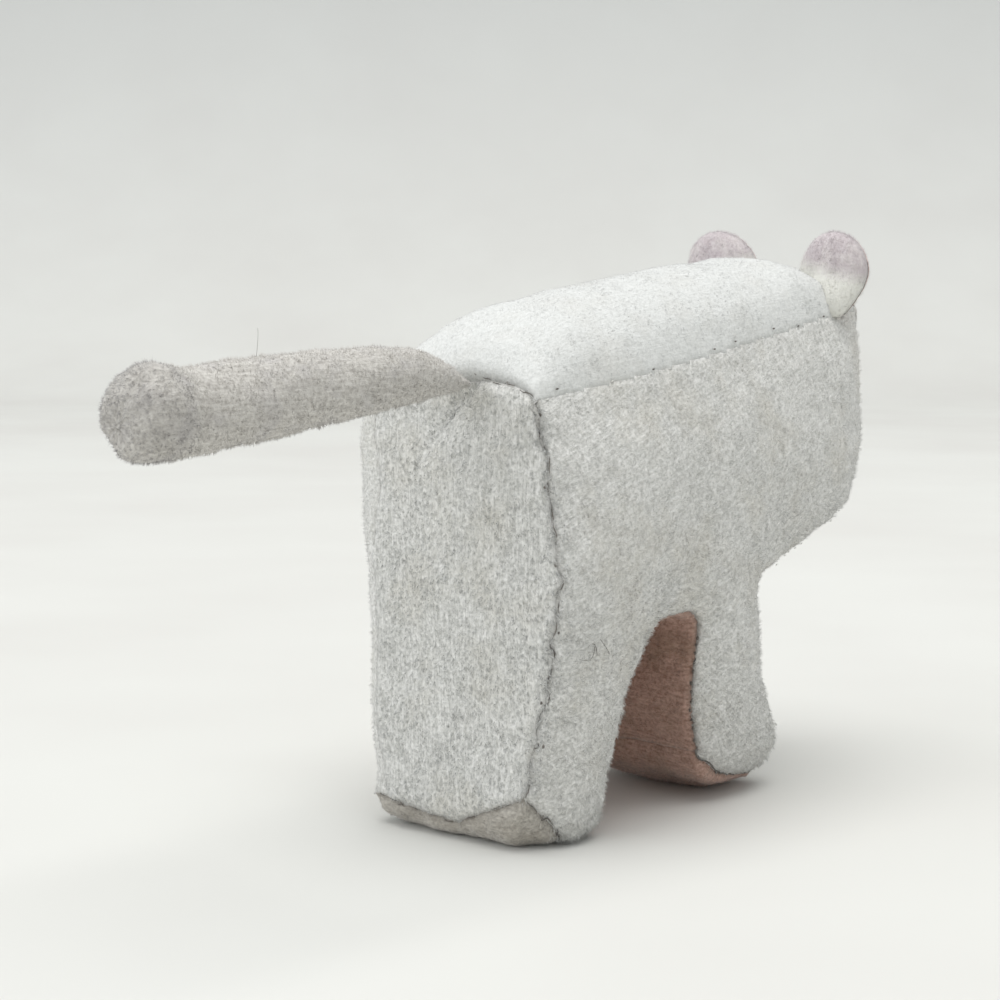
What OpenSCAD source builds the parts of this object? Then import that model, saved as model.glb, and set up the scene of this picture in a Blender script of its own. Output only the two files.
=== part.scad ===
// Clockwork mouse: a sewn and stuffed velvet mouse with a small spring motor inside.
// Millimetres, +Z up. The mouse looks along -Y, its left side is +X, and the origin is
// the middle of the rear sole, on the ground.

/* [Body] */
// Distance from the flat rump to the front of the head
body_length = 51; // [50:0.5:52]
// Height of the side seam at the rump
rump_seam_height = 40; // [39.5:0.5:40.5]
// Height of the side seam at the face
face_seam_height = 47.5; // [47:0.5:48]
// Height of the crown of the back over the shoulders
crown_height = 53; // [52.5:0.5:54]
// Rise of the round back above the side seams, before the crown flattens it
crown_rise = 9.2; // [9:0.1:9.6]
// Half of the greatest width, across the flanks
flank_half_width = 12.3; // [12:0.1:12.8]
// Half of the width at the rump seams
rump_half_width = 9.4; // [9:0.1:9.8]
// Thickness of the velvet with its backing
velvet = 1.2; // [1:0.1:1.3]
// Height of the two stiffened soles
sole_height = 2.4; // [2.2:0.1:2.8]
// Distance from the rump face to the middle of the rear sole
rump_y = 5; // [4.8:0.1:5.2]

/* [Legs] */
// Distance from the rump to the front of the rear foot
rear_foot_end = 9; // [8.8:0.1:9.2]
// Distance from the rump to the back of the front foot
front_foot_start = 23.8; // [23.6:0.1:24]
// Distance from the rump to the toe of the front foot
front_foot_end = 36.6; // [36:0.1:37]
// Height of the top of the arch between the legs
arch_height = 19.2; // [18.8:0.1:19.4]
// Height of the throat above the ground, in front of the front leg
throat_height = 22; // [21.8:0.1:22.2]

/* [Ears, eyes and nose] */
// Radius of an ear
ear_radius = 4; // [3.6:0.1:4.4]
// Sideways distance from the middle plane to an ear
ear_spread = 7.4; // [7:0.1:8]
// Height of the centre of an ear
ear_height = 51.9; // [51.4:0.1:52.4]
// Radius of an eye bead
eye_radius = 1.3; // [1:0.1:1.6]
// Half of the distance between the eyes
eye_spread = 4.6; // [4:0.1:5]
// Height of the eyes
eye_height = 41; // [39:0.5:43]
// Height of the nose
nose_height = 34.5; // [33:0.5:36]

/* [Tail] */
// Length of the tail from its hinge line to its blunt end
tail_length = 37; // [34:0.5:40]
// Radius of the tail at the blunt end
tail_end_radius = 4; // [3.6:0.1:4.2]
// Radius of the tail where the pinched root opens out
tail_root_radius = 2.6; // [2.3:0.1:2.8]
// Height of the seam that holds the tail
tail_height = 41.3; // [41:0.1:41.6]
// Angle that the tail hangs below level
tail_droop = 2.3; // [0:0.1:5]

/* [Movement] */
// Gap between the two motor plates
plate_gap = 10; // [9.8:0.1:10.2]
// Thickness of a motor plate
plate_thickness = 0.7; // [0.6:0.1:0.8]
// Distance from the rump to the winding arbor
winding_from_rump = 20; // [19.6:0.1:20.4]
// Height of the winding arbor
winding_height = 33.5; // [33.2:0.1:33.8]
// Radius of the winding arbor
winding_radius = 1; // [0.9:0.05:1.1]
// Radius of the other arbors
arbor_radius = 0.6; // [0.5:0.05:0.7]
// Turns of the mainspring strip
spring_turns = 5; // [4:1:6]
// Radial play of a pivot in its plate
pivot_play = 0.05; // [0.03:0.01:0.08]
// Radius of the eccentric weight that shakes the mouse
weight_radius = 4.4; // [4:0.1:4.6]
// Width of the winding key across its wings
key_width = 13; // [11:0.5:15]

/* [Hidden] */
$fn = 48;

slit = 0.05;           // keeps neighbouring solids apart
far = 80;              // reaches past the whole object
arc_steps = 5;         // flats on each rounded corner of an outline

seam_slope = atan((face_seam_height - rump_seam_height) / body_length);
dome_half_width = 9.8;
dome_radius = (dome_half_width * dome_half_width + crown_rise * crown_rise) / (2 * crown_rise);
head_split = 29;       // height where the chest panel meets the face panel
leg_split = 28;        // distance from the rump where the gusset meets the chest panel

// Gears: [teeth, module] of each wheel, and the teeth of every pinion
great_gear = [36, 0.4];
second_gear = [30, 0.35];
third_gear = [30, 0.3];
pinion_teeth = 9;
wheel_addendum = 0.6;  // in modules, as are the next three
wheel_dedendum = 1.25;
pinion_addendum = 0.9;
pinion_dedendum = 1.05;
tooth_share = 0.42;    // tooth width as a share of the pitch
pressure_angle = 20;

// Directions from each arbor to the next, seen from the left side
second_direction = 180;
third_direction = 145;
weight_direction = 250;

plate_inside = plate_gap / 2;
plate_outside = plate_inside + plate_thickness;
pivot_radius = 0.35;
end_play = 0.1;
gear_thickness = 0.6;
great_wheel_x = -0.8;
second_wheel_x = -2.6;
third_wheel_x = -4.2;
ratchet_x = 0.1;
ratchet_thickness = 0.5;
ratchet_radius = 3;
ratchet_teeth = 10;
click_radius = 5.6;
click_direction = 60;
spring_x = 0.9;
spring_width = 3.5;
spring_strip = 0.25;
spring_inner = 1.7;
spring_outer = 6.5;
pillar_radius = 0.9;
pillar_distance = 8.7;
pillar_direction = 45;
rivet_radius = 0.5;

// ---------------------------------------------------------------- outlines

function along(from_rump) = rump_y - from_rump;
function unit(v) = v / norm(v);
function cross2(a, b) = a.x * b.y - a.y * b.x;
function sum(list) = list * [for (item = list) 1];
function turned_area(points) =
  let (n = len(points))
  sum([for (i = [0:n - 1]) cross2(points[i], points[(i + 1) % n])]);
function anticlockwise(points) =
  turned_area(points) > 0 ? points : [for (i = [len(points) - 1:-1:0]) points[i]];
function seam_z(from_rump) = rump_seam_height + from_rump * tan(seam_slope);
function toward(angle) = [cos(angle), sin(angle)];

// Points that round the corner b, between a and c, with the radius r
function corner_arc(a, b, c, r) =
  let (
    back = unit(a - b),
    onward = unit(c - b),
    half = acos(back * onward) / 2,
    centre = b + unit(back + onward) * r / sin(half),
    first = b + back * r / tan(half) - centre,
    start = atan2(first.y, first.x),
    sweep = (180 - 2 * half) * sign(cross2(b - a, c - b))
  )
  [for (i = [0:arc_steps]) centre + r * toward(start + sweep * i / arc_steps)];

// An anticlockwise outline with rounded corners, each given as [across, up, radius]
function rounded(corners) =
  let (n = len(corners), flat = [for (p = corners) [p[0], p[1]]])
  anticlockwise([
    for (i = [0:n - 1])
      each corner_arc(flat[(i + n - 1) % n], flat[i], flat[(i + 1) % n], corners[i][2])
  ]);

// The same outline moved inwards by t
function inset(points, t) =
  let (n = len(points))
  [for (i = [0:n - 1])
    let (
      before = unit(points[i] - points[(i + n - 1) % n]),
      after = unit(points[(i + 1) % n] - points[i]),
      inward = unit([-before.y - after.y, before.x + after.x])
    )
    points[i] + inward * t / (inward * [-after.y, after.x])];

// Corners of the left half of a symmetric outline, and the same corners on the right
function both_halves(corners) =
  concat(corners, [for (i = [len(corners) - 1:-1:0]) [-corners[i][0], corners[i][1], corners[i][2]]]);

// The body from its left side: [distance along Y, height, corner radius]
side_outline = rounded([
  [along(0.2), 0, 2.4],
  [along(rear_foot_end), 0, 2.2],
  [along(11), 13, 12],
  [along(14.8), arch_height - 0.4, 3],
  [along(22.8), arch_height + 0.6, 2.2],
  [along(22.8), 10, 12],
  [along(front_foot_start), 0, 2.2],
  [along(front_foot_end), 0, 2.2],
  [along(front_foot_end), 5.5, 4],
  [along(32.8), 14, 5],
  [along(33), throat_height - 0.4, 1.6],
  [along(body_length - 1.6), throat_height + 4.6, 3.6],
  [along(body_length + 0.5), 35, 14],
  [along(body_length), face_seam_height + 10, 3],
  [along(0), rump_seam_height + 10, 3]
]);

// The crown of the back from the left side
crown_outline = rounded([
  [along(0), 20, 3],
  [along(0), 41.8, 2],
  [along(5.5), 48.3, 4],
  [along(33), crown_height, 40],
  [along(body_length - 2), crown_height + 0.3, 3],
  [along(body_length), face_seam_height + 0.5, 2],
  [along(body_length), 20, 3]
]);

// The body from above: [distance to the left, distance along Y, corner radius]
plan_outline = rounded(both_halves([
  [rump_half_width, along(-8), 3],
  [rump_half_width, along(0), 1.6],
  [flank_half_width - 0.5, along(9), 20],
  [flank_half_width + 0.1, along(24), 30],
  [flank_half_width - 0.6, along(41), 20],
  [rump_half_width + 0.2, along(body_length), 2],
  [rump_half_width + 0.2, along(body_length + 8), 3]
]));

// The body from the front: [distance to the left, height, corner radius]
front_outline = rounded(both_halves([
  [dome_half_width - 1.4, 0, 1.6],
  [dome_half_width - 0.2, 4, 8],
  [flank_half_width, 19, 30],
  [flank_half_width, 31, 20],
  [dome_half_width, 43, 20],
  [dome_half_width, 62, 3]
]));

// ---------------------------------------------------------------- shared volumes

// A shape drawn as [along Y, up], spread along X from one x for a given depth
module across(x, depth) {
  translate([x, 0, 0]) rotate([90, 0, 90]) linear_extrude(depth) children();
}

module side_prism(points) {
  across(-far, 2 * far) polygon(points);
}

// The tube between the flanks, t inside the outer faces of the side panels
module between_flanks(t) {
  intersection() {
    translate([0, 0, -far]) linear_extrude(2 * far) polygon(inset(plan_outline, t));
    translate([0, far, 0]) rotate([90, 0, 0]) linear_extrude(2 * far) polygon(inset(front_outline, t));
  }
}

// A box between two distances from the rump and two heights, over the whole width
module region(from_rump, to_rump, low, high) {
  translate([-far, along(to_rump), low]) cube([2 * far, to_rump - from_rump, high - low]);
}

// Everything below the two long side seams, lowered by t
module below_seams(t) {
  side_prism([
    [along(-10), -10],
    [along(-10), seam_z(-10) - t],
    [along(body_length + 10), seam_z(body_length + 10) - t],
    [along(body_length + 10), -10]
  ]);
}

// The domed top of the body above the side seams, t inside its outer face
module dome(t) {
  intersection() {
    side_prism(inset(crown_outline, t));
    translate([0, along(0), rump_seam_height - (dome_radius - crown_rise) / cos(seam_slope)])
      rotate([90 - seam_slope, 0, 0])
        cylinder(r = dome_radius - t, h = 3 * far, center = true, $fn = 96);
  }
}

// The body below the seams, t inside every outer face
module trunk(t) {
  intersection() {
    side_prism(inset(side_outline, t));
    between_flanks(t);
    below_seams(t);
  }
}

// A strip of velvet that follows the side outline between the two side panels
module strip(from_rump, to_rump, low, high) {
  intersection() {
    difference() {
      side_prism(side_outline);
      side_prism(inset(side_outline, velvet));
    }
    between_flanks(velvet);
    below_seams(0);
    region(from_rump, to_rump, low, high);
  }
}

// ---------------------------------------------------------------- cover

// One side panel: side is 1 for the left and -1 for the right
module side_panel(side) {
  intersection() {
    difference() {
      between_flanks(0);
      between_flanks(velvet);
    }
    side_prism(side_outline);
    below_seams(0);
    region(-5, body_length + 5, sole_height, far);
    translate([side > 0 ? 0 : -far, -far, 0]) cube([far, 2 * far, far]);
  }
}

module right_side_panel() {
  color("gainsboro") side_panel(-1);
}

module left_side_panel() {
  color("gainsboro") difference() {
    side_panel(1);
    at_winding_arbor() cylinder(r = eyelet_radius + slit, h = far);
  }
}

module back_panel() {
  color("whitesmoke") difference() {
    dome(0);
    dome(velvet);
    below_seams(0);
  }
}

module rump_panel() {
  color("gainsboro") strip(-5, 4, sole_height, far);
}

module face_panel() {
  color("gainsboro") strip(40, body_length + 5, head_split, far);
}

module chest_panel() {
  color("gainsboro") strip(leg_split, body_length + 5, sole_height, head_split);
}

module arch_gusset() {
  color("rosybrown") strip(4, leg_split, sole_height, arch_height + 3);
}

// The bottom of one leg, closed by a stiffened sole
module sole(from_rump, to_rump) {
  intersection() {
    side_prism(side_outline);
    between_flanks(0);
    region(from_rump, to_rump, -1, sole_height);
  }
}

module rear_sole() {
  color("gray") sole(-5, 15);
}

module front_sole() {
  color("rosybrown") sole(20, 42);
}

// ---------------------------------------------------------------- head

// A half-round flap that stands on the front end of a side seam
module ear_layer(side, from_rump, thickness, radius) {
  difference() {
    translate([side * ear_spread, along(from_rump), ear_height])
      rotate([90, 0, 0])
        cylinder(r = radius, h = thickness);
    dome(-slit);
    translate([-far, -far, -far]) cube([2 * far, 2 * far, far + face_seam_height + 0.2]);
  }
}

ear_back_thickness = 1.3;
ear_start = body_length - 2.2;

module right_ear() {
  color("lavenderblush") ear_layer(-1, ear_start, ear_back_thickness, ear_radius);
}

module left_ear() {
  color("lavenderblush") ear_layer(1, ear_start, ear_back_thickness, ear_radius);
}

module right_ear_lining() {
  color("thistle") ear_layer(-1, ear_start + ear_back_thickness, 0.8, ear_radius - 0.4);
}

module left_ear_lining() {
  color("thistle") ear_layer(1, ear_start + ear_back_thickness, 0.8, ear_radius - 0.4);
}

// A domed bead that sits on the face: side is 0 in the middle
module bead(side, spread, height, radius) {
  intersection() {
    translate([side * spread, along(body_length + 0.6), height]) sphere(r = radius);
    region(body_length + 0.6, body_length + 5, 0, far);
  }
}

module right_eye() {
  color("black") bead(-1, eye_spread, eye_height, eye_radius);
}

module left_eye() {
  color("black") bead(1, eye_spread, eye_height, eye_radius);
}

module nose() {
  color("rosybrown") bead(0, 0, nose_height, eye_radius + 0.3);
}

// ---------------------------------------------------------------- stuffing

module pad(from_rump, to_rump, low, high) {
  color("ivory") intersection() {
    trunk(velvet + slit);
    region(from_rump, to_rump, low, high);
  }
}

movement_start = 11.6;
movement_end = 44;
movement_bottom = 25;
movement_top = 43.2;
pad_gap = 0.4;

module rump_stuffing() {
  pad(0, movement_start - pad_gap, movement_bottom, far);
}

module rear_leg_stuffing() {
  pad(0, 17, sole_height + slit, movement_bottom - pad_gap);
}

module front_leg_stuffing() {
  pad(20, 37, sole_height + slit, movement_bottom - pad_gap);
}

module head_stuffing() {
  pad(movement_end + pad_gap, body_length, 24, far);
}

module back_stuffing() {
  color("ivory") difference() {
    dome(velvet + slit);
    below_seams(-slit);
    region(-5, body_length + 5, 0, movement_top + pad_gap);
  }
}

// ---------------------------------------------------------------- tail

tail_gap = 0.85;       // from the rump to the hinge line
tab_half_thickness = 0.45;
tab_width = 5.6;
cone_start = 2.2;
cone_end = 8;
felt = 0.9;
wire_radius = 0.5;

// Places a shape drawn along +Z on the axis of the tail
module on_tail(distance) {
  translate([0, rump_y + tail_gap, tail_height])
    rotate([-90 - tail_droop, 0, 0])
      translate([0, 0, distance])
        children();
}

// The round part of the tail, t inside its outer face
module tail_body(t) {
  on_tail(cone_start + t) cylinder(r1 = 1.2 - t / 2, r2 = tail_root_radius - t, h = cone_end - cone_start - t);
  on_tail(cone_end - slit) cylinder(
    r1 = tail_root_radius - t, r2 = tail_end_radius - t, h = tail_length - cone_end - 1.2 + slit);
  on_tail(tail_length - 1.2) cylinder(r1 = tail_end_radius - t, r2 = tail_end_radius - 1.2 - t, h = 1.2 - t);
}

module tail_cover() {
  color("silver") difference() {
    union() {
      tail_body(0);
      on_tail(0) rotate([0, 90, 0]) cylinder(r = tab_half_thickness, h = tab_width, center = true);
      on_tail(cone_start) cube([tab_width, 2 * tab_half_thickness, 2 * cone_start], center = true);
    }
    tail_body(felt);
  }
}

module tail_stuffing() {
  color("ivory") difference() {
    tail_body(felt + slit);
    on_tail(0) cylinder(r = wire_radius + slit, h = far);
  }
}

module tail_wire() {
  color("slategray") on_tail(cone_end) cylinder(r = wire_radius, h = tail_length - cone_end - 3);
}

// ---------------------------------------------------------------- movement

// Where each arbor stands, as [along Y, up]
function pinion_distance(gear) = gear[1] * (gear[0] + pinion_teeth) / 2;
winding_at = [along(winding_from_rump), winding_height];
second_at = winding_at + pinion_distance(great_gear) * toward(second_direction);
third_at = second_at + pinion_distance(second_gear) * toward(third_direction);
weight_at = third_at + pinion_distance(third_gear) * toward(weight_direction);
pillars_at = [
  winding_at + pillar_distance * toward(pillar_direction),
  [along(13.4), 27],
  [along(42), 29.4],
  [along(41), 41]
];
click_at = winding_at + click_radius * toward(click_direction);

// Stands a shape drawn along +Z on an arbor's axis, so that it runs along +X
module at(place) {
  translate([0, place.x, place.y]) rotate([90, 0, 90]) children();
}

module at_winding_arbor() {
  at(winding_at) children();
}

// Half of a tooth's angle at a radius, on an involute flank
function involute(angle) = tan(angle) * 180 / PI - angle;
function half_tooth(radius, pitch_radius, teeth) =
  let (base = pitch_radius * cos(pressure_angle))
  tooth_share * 180 / teeth + involute(pressure_angle) - involute(acos(min(1, base / radius)));

// A spur gear with one tooth pointing along angle
function gear_outline(teeth, size, addendum, dedendum, angle) =
  let (
    pitch_radius = teeth * size / 2,
    base = pitch_radius * cos(pressure_angle),
    radii = [pitch_radius - dedendum * size, base, pitch_radius, pitch_radius + addendum * size]
  )
  [for (i = [0:teeth - 1], side = [-1, 1], k = [0:3])
    let (r = radii[side < 0 ? k : 3 - k])
    r * toward(angle + i * 360 / teeth + side * half_tooth(r, pitch_radius, teeth))];

// A wheel with five round crossings, fixed or loose on its arbor
module wheel(gear, angle, thickness, bore) {
  pitch_radius = gear[0] * gear[1] / 2;
  linear_extrude(thickness) difference() {
    polygon(gear_outline(gear[0], gear[1], wheel_addendum, wheel_dedendum, angle));
    circle(r = bore);
    for (i = [0:4]) rotate(angle + i * 72) translate([0.56 * pitch_radius, 0]) circle(r = 0.19 * pitch_radius);
  }
}

// A pinion that has a gap facing back along the direction from its wheel
module pinion(size, direction, from_x, to_x) {
  translate([0, 0, from_x]) linear_extrude(to_x - from_x)
    polygon(gear_outline(
      pinion_teeth, size, pinion_addendum, pinion_dedendum, direction + 180 + 180 / pinion_teeth));
}

// A plain arbor with a thinner pivot in each plate
module arbor() {
  translate([0, 0, end_play - plate_inside]) cylinder(r = arbor_radius, h = plate_gap - 2 * end_play);
  cylinder(r = pivot_radius, h = 2 * plate_outside + 0.4, center = true);
}

// One motor plate, with its low x given
module motor_plate(x) {
  difference() {
    across(x, plate_thickness) polygon(rounded([
      [along(movement_start), movement_bottom, 2],
      [along(35.5), movement_bottom, 3],
      [along(movement_end), 28.4, 2],
      [along(movement_end), movement_top, 2],
      [along(movement_start), movement_top, 2]
    ]));
    at_winding_arbor() cylinder(r = winding_radius + pivot_play, h = 2 * far, center = true);
    for (place = [second_at, third_at, weight_at])
      at(place) cylinder(r = pivot_radius + pivot_play, h = 2 * far, center = true);
    for (place = pillars_at)
      at(place) cylinder(r = rivet_radius + pivot_play, h = 2 * far, center = true);
  }
}

module left_motor_plate() {
  color("silver") motor_plate(plate_inside);
}

module right_motor_plate() {
  color("silver") motor_plate(-plate_outside);
}

// Four spacers with thin ends, riveted over outside the plates
module frame_pillars() {
  color("lightgray") for (place = pillars_at) at(place) {
    cylinder(r = pillar_radius, h = plate_gap, center = true);
    cylinder(r = rivet_radius, h = 2 * plate_outside + 0.1, center = true);
    for (side = [-1, 1]) translate([0, 0, side * (plate_outside + 0.2)])
      cylinder(r = pillar_radius, h = 0.4, center = true);
  }
}

// The spring strip winds out from the arbor and ends in a lug at the first pillar
spring_steps = 20;
spring_points = spring_turns * spring_steps;
function spiral(i, offset) =
  (spring_inner + (spring_outer - spring_inner) * i / spring_points + offset)
    * toward(pillar_direction + i * 360 / spring_steps);

module mainspring() {
  lug_radius = pillar_distance - pillar_radius - slit;
  color("steelblue") at_winding_arbor() translate([0, 0, spring_x]) linear_extrude(spring_width)
    polygon(concat(
      [for (i = [0:spring_points]) spiral(i, 0)],
      [lug_radius * toward(pillar_direction), lug_radius * toward(pillar_direction - 3)],
      [for (i = [spring_points - 1:-1:0]) spiral(i, spring_strip)]
    ));
}

module great_wheel() {
  color("gold") difference() {
    at_winding_arbor() translate([0, 0, great_wheel_x])
      wheel(great_gear, second_direction, -great_wheel_x, winding_radius + pivot_play);
    at(click_at) cylinder(r = rivet_radius + pivot_play, h = far, center = true);
  }
}

// The catch that lets the arbor be wound but not slip back, drawn lifted clear of the teeth
module click() {
  color("silver") union() {
    at(click_at) translate([0, 0, great_wheel_x - 0.15])
      cylinder(r = rivet_radius, h = ratchet_x + ratchet_thickness - great_wheel_x + 0.15);
    at(click_at) translate([0, 0, ratchet_x]) linear_extrude(ratchet_thickness) {
      circle(r = 0.8);
      rotate(click_direction - 145) polygon([[0, -0.8], [2.9, -0.25], [2.9, 0.25], [0, 0.8]]);
    }
  }
}

module ratchet_wheel() {
  color("goldenrod") at_winding_arbor() translate([0, 0, ratchet_x]) linear_extrude(ratchet_thickness)
    difference() {
      polygon([for (i = [0:ratchet_teeth - 1], k = [0, 1])
        (k == 0 ? ratchet_radius : ratchet_radius - 0.7) * toward((i + k * 0.1) * 360 / ratchet_teeth)]);
      circle(r = winding_radius + slit / 5);
    }
}

key_tube_start = 13.4;
key_tube_length = 5;
key_tube_radius = 1.9;
key_wing_start = 17;
key_end = 23.6;
key_tilt = 25;

module winding_arbor() {
  color("silver") at_winding_arbor() translate([0, 0, -plate_outside - 0.3])
    cylinder(r = winding_radius, h = plate_outside + 0.3 + key_tube_start + 3);
}

// A tube that fits the arbor, and two round wings stamped in one flat piece
module winding_key() {
  wing_radius = (key_end - key_wing_start) / 2;
  color("lightsteelblue") at_winding_arbor() rotate(key_tilt) difference() {
    union() {
      translate([0, 0, key_tube_start]) cylinder(r = key_tube_radius, h = key_tube_length);
      translate([0, 0.5, key_wing_start + wing_radius]) rotate([90, 0, 0]) linear_extrude(1) {
        for (side = [-1, 1]) translate([side * (key_width / 2 - wing_radius), 0]) circle(r = wing_radius);
        square([key_width - 2 * wing_radius, wing_radius], center = true);
      }
    }
    translate([0, 0, key_tube_start - 1]) cylinder(r = winding_radius + slit / 5, h = 4.1);
    for (side = [-1, 1]) translate([side * (key_width / 2 - wing_radius), 2, key_wing_start + wing_radius])
      rotate([90, 0, 0]) cylinder(r = wing_radius * 0.42, h = 4);
  }
}

eyelet_radius = 2.6;
eyelet_inner = 12.35;

// A brass tube with a flange on each face of the left side panel
module key_eyelet() {
  color("goldenrod") at_winding_arbor() difference() {
    union() {
      translate([0, 0, 8.8]) cylinder(r = eyelet_radius, h = 4.1);
      translate([0, 0, eyelet_inner]) cylinder(r = eyelet_radius + 1, h = 0.55);
      translate([0, 0, 8.8]) cylinder(r = eyelet_radius + 0.8, h = 0.4);
    }
    cylinder(r = eyelet_radius - 0.6, h = far);
  }
}

module second_arbor() {
  color("silver") at(second_at) {
    arbor();
    pinion(great_gear[1], second_direction, great_wheel_x - 0.4, 0.4);
  }
}

module second_wheel() {
  color("gold") at(second_at) translate([0, 0, second_wheel_x])
    wheel(second_gear, third_direction, gear_thickness, arbor_radius + slit / 5);
}

module third_arbor() {
  color("silver") at(third_at) {
    arbor();
    pinion(second_gear[1], third_direction, second_wheel_x - 0.4, second_wheel_x + gear_thickness + 0.4);
  }
}

module third_wheel() {
  color("gold") at(third_at) translate([0, 0, third_wheel_x])
    wheel(third_gear, weight_direction, gear_thickness, arbor_radius + slit / 5);
}

module weight_arbor() {
  color("silver") at(weight_at) {
    arbor();
    pinion(third_gear[1], weight_direction, third_wheel_x - 0.4, third_wheel_x + gear_thickness + 0.4);
  }
}

// Half a disc on a small hub, so that the spinning arbor shakes the whole mouse
module eccentric_weight() {
  color("darkgoldenrod") at(weight_at) translate([0, 0, 0.7]) linear_extrude(2.6) difference() {
    union() {
      circle(r = 1.4);
      intersection() {
        circle(r = weight_radius);
        translate([-weight_radius, -2 * weight_radius]) square(2 * weight_radius);
      }
    }
    circle(r = arbor_radius + slit / 5);
  }
}

// ---------------------------------------------------------------- parts

right_side_panel();
left_side_panel();
back_panel();
rump_panel();
face_panel();
chest_panel();
arch_gusset();
rear_sole();
front_sole();
right_ear();
left_ear();
right_ear_lining();
left_ear_lining();
right_eye();
left_eye();
nose();
rump_stuffing();
rear_leg_stuffing();
front_leg_stuffing();
head_stuffing();
back_stuffing();
tail_cover();
tail_stuffing();
tail_wire();
key_eyelet();
winding_key();
winding_arbor();
ratchet_wheel();
left_motor_plate();
right_motor_plate();
frame_pillars();
mainspring();
great_wheel();
click();
second_arbor();
second_wheel();
third_arbor();
third_wheel();
weight_arbor();
eccentric_weight();
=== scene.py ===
"""A sewn and stuffed velvet mouse with a felt tail and a spring motor inside.

The soft pieces are shaped in millimetres and scaled to metres when they are finished. `s` is the
distance forward from the rump, and the frame's Y is rump_y - s. The mouse's right side is -X.
"""

import math

import bmesh
import bpy
import numpy as np
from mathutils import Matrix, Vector, noise
from mathutils.bvhtree import BVHTree
from mathutils.kdtree import KDTree


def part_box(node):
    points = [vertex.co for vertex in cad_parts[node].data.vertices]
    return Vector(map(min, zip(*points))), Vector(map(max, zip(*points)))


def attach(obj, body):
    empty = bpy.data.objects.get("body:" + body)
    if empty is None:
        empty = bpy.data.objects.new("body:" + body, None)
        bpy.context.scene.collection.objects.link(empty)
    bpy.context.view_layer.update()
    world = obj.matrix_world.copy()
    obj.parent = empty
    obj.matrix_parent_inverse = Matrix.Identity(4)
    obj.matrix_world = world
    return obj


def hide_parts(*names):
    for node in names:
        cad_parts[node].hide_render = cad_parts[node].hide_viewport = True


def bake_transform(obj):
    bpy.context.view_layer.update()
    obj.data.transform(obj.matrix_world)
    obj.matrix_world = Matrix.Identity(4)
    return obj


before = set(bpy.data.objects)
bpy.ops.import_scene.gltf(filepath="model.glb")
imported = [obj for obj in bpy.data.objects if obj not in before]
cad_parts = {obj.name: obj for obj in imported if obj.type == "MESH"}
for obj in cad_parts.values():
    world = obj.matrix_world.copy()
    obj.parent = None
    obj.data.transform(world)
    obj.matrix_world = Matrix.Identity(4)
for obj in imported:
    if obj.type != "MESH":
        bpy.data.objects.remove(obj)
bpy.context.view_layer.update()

MM = 0.001
RIGHT, LEFT = -1, 1
rng = np.random.default_rng(7)

# Driving sizes, in millimetres
rump_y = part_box("back_panel")[1][1] / MM
key_axis = ((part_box("winding_arbor")[0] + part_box("winding_arbor")[1]) / 2 / MM).yz
body_length = 52.0
rump_seam_z = 40.0
face_seam_z = 47.5
slab_half = 10.0        # half-width of the slab that the body is shaped from
cell = 0.42             # size of the cloth's mesh cells
cloth = 0.55            # thickness of the velvet
lean = 1.3              # how far the rear foot stands to the left of the body
ground = 0.02           # lowest height of cloth, thread and fibres
pile_share = 1.0

# The side panel's outline: distance forward, height, corner radius
side_corners = [
    (0, 0, 3), (9.6, 0, 2.2), (11.5, 13, 12), (15.2, 19.3, 3), (21.4, 19.9, 2.2), (22, 11, 10),
    (24.8, 2.8, 3), (30.5, 0, 4), (36.9, 0, 2.4), (37.4, 4.6, 4), (33, 12.5, 8), (30.7, 21.5, 1.6),
    (48.4, 27.3, 4.5), (51.9, 34, 10), (52, face_seam_z, 0.8), (0, rump_seam_z, 0.6),
]
sole_corner_z = {RIGHT: 5.1, LEFT: 2.8}    # where the rear sole meets the two rump seams


# ---------------------------------------------------------------- small helpers

def smooth(t):
    """0 below 0, 1 above 1, with soft ends."""
    t = np.clip(t, 0.0, 1.0)
    return t * t * (3 - 2 * t)


def through(t, *knots):
    """A line through (place, value) knots."""
    return np.interp(t, [k[0] for k in knots], [k[1] for k in knots])


def unit(v):
    """The same directions, each one long."""
    return v / np.maximum(np.linalg.norm(v, axis=-1, keepdims=True), 1e-9)


def rounded(corners, steps=6):
    """An outline through (across, up, radius) corners, each rounded by an arc."""
    outline = []
    for i, (x, y, r) in enumerate(corners):
        b = np.array((x, y), float)
        back = unit(np.array(corners[i - 1][:2], float) - b)
        onward = unit(np.array(corners[(i + 1) % len(corners)][:2], float) - b)
        half = math.acos(float(back @ onward)) / 2
        centre = b + unit(back + onward) * r / math.sin(half)
        first = b + back * r / math.tan(half) - centre
        turn = math.copysign(math.pi - 2 * half, onward[0] * back[1] - onward[1] * back[0])
        start = math.atan2(first[1], first[0])
        angles = start + turn * np.arange(steps + 1) / steps
        outline += [centre + r * np.array((math.cos(a), math.sin(a))) for a in angles]
    return np.array(outline)


def evenly(points, step):
    """Points every step along an open line."""
    run = np.concatenate([[0], np.cumsum(np.linalg.norm(np.diff(points, axis=0), axis=1))])
    places = np.linspace(0, run[-1], max(2, int(run[-1] / step) + 1))
    return np.stack([np.interp(places, run, points[:, k]) for k in range(points.shape[1])], axis=1)


def fractal(points, scale, octaves=3, shift=0.0):
    """Soft noise from -1 to 1 at each point, with features about scale mm across."""
    move = Vector((shift, 3.1 * shift, 7.7 * shift))
    return np.array([noise.fractal(Vector(p) / scale + move, 1.0, 2.0, octaves) for p in points])


def tree_of(points):
    """A search tree over points with two or three coordinates."""
    tree = KDTree(len(points))
    for i, p in enumerate(points):
        tree.insert((*p, 0.0)[:3], i)
    tree.balance()
    return tree


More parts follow.
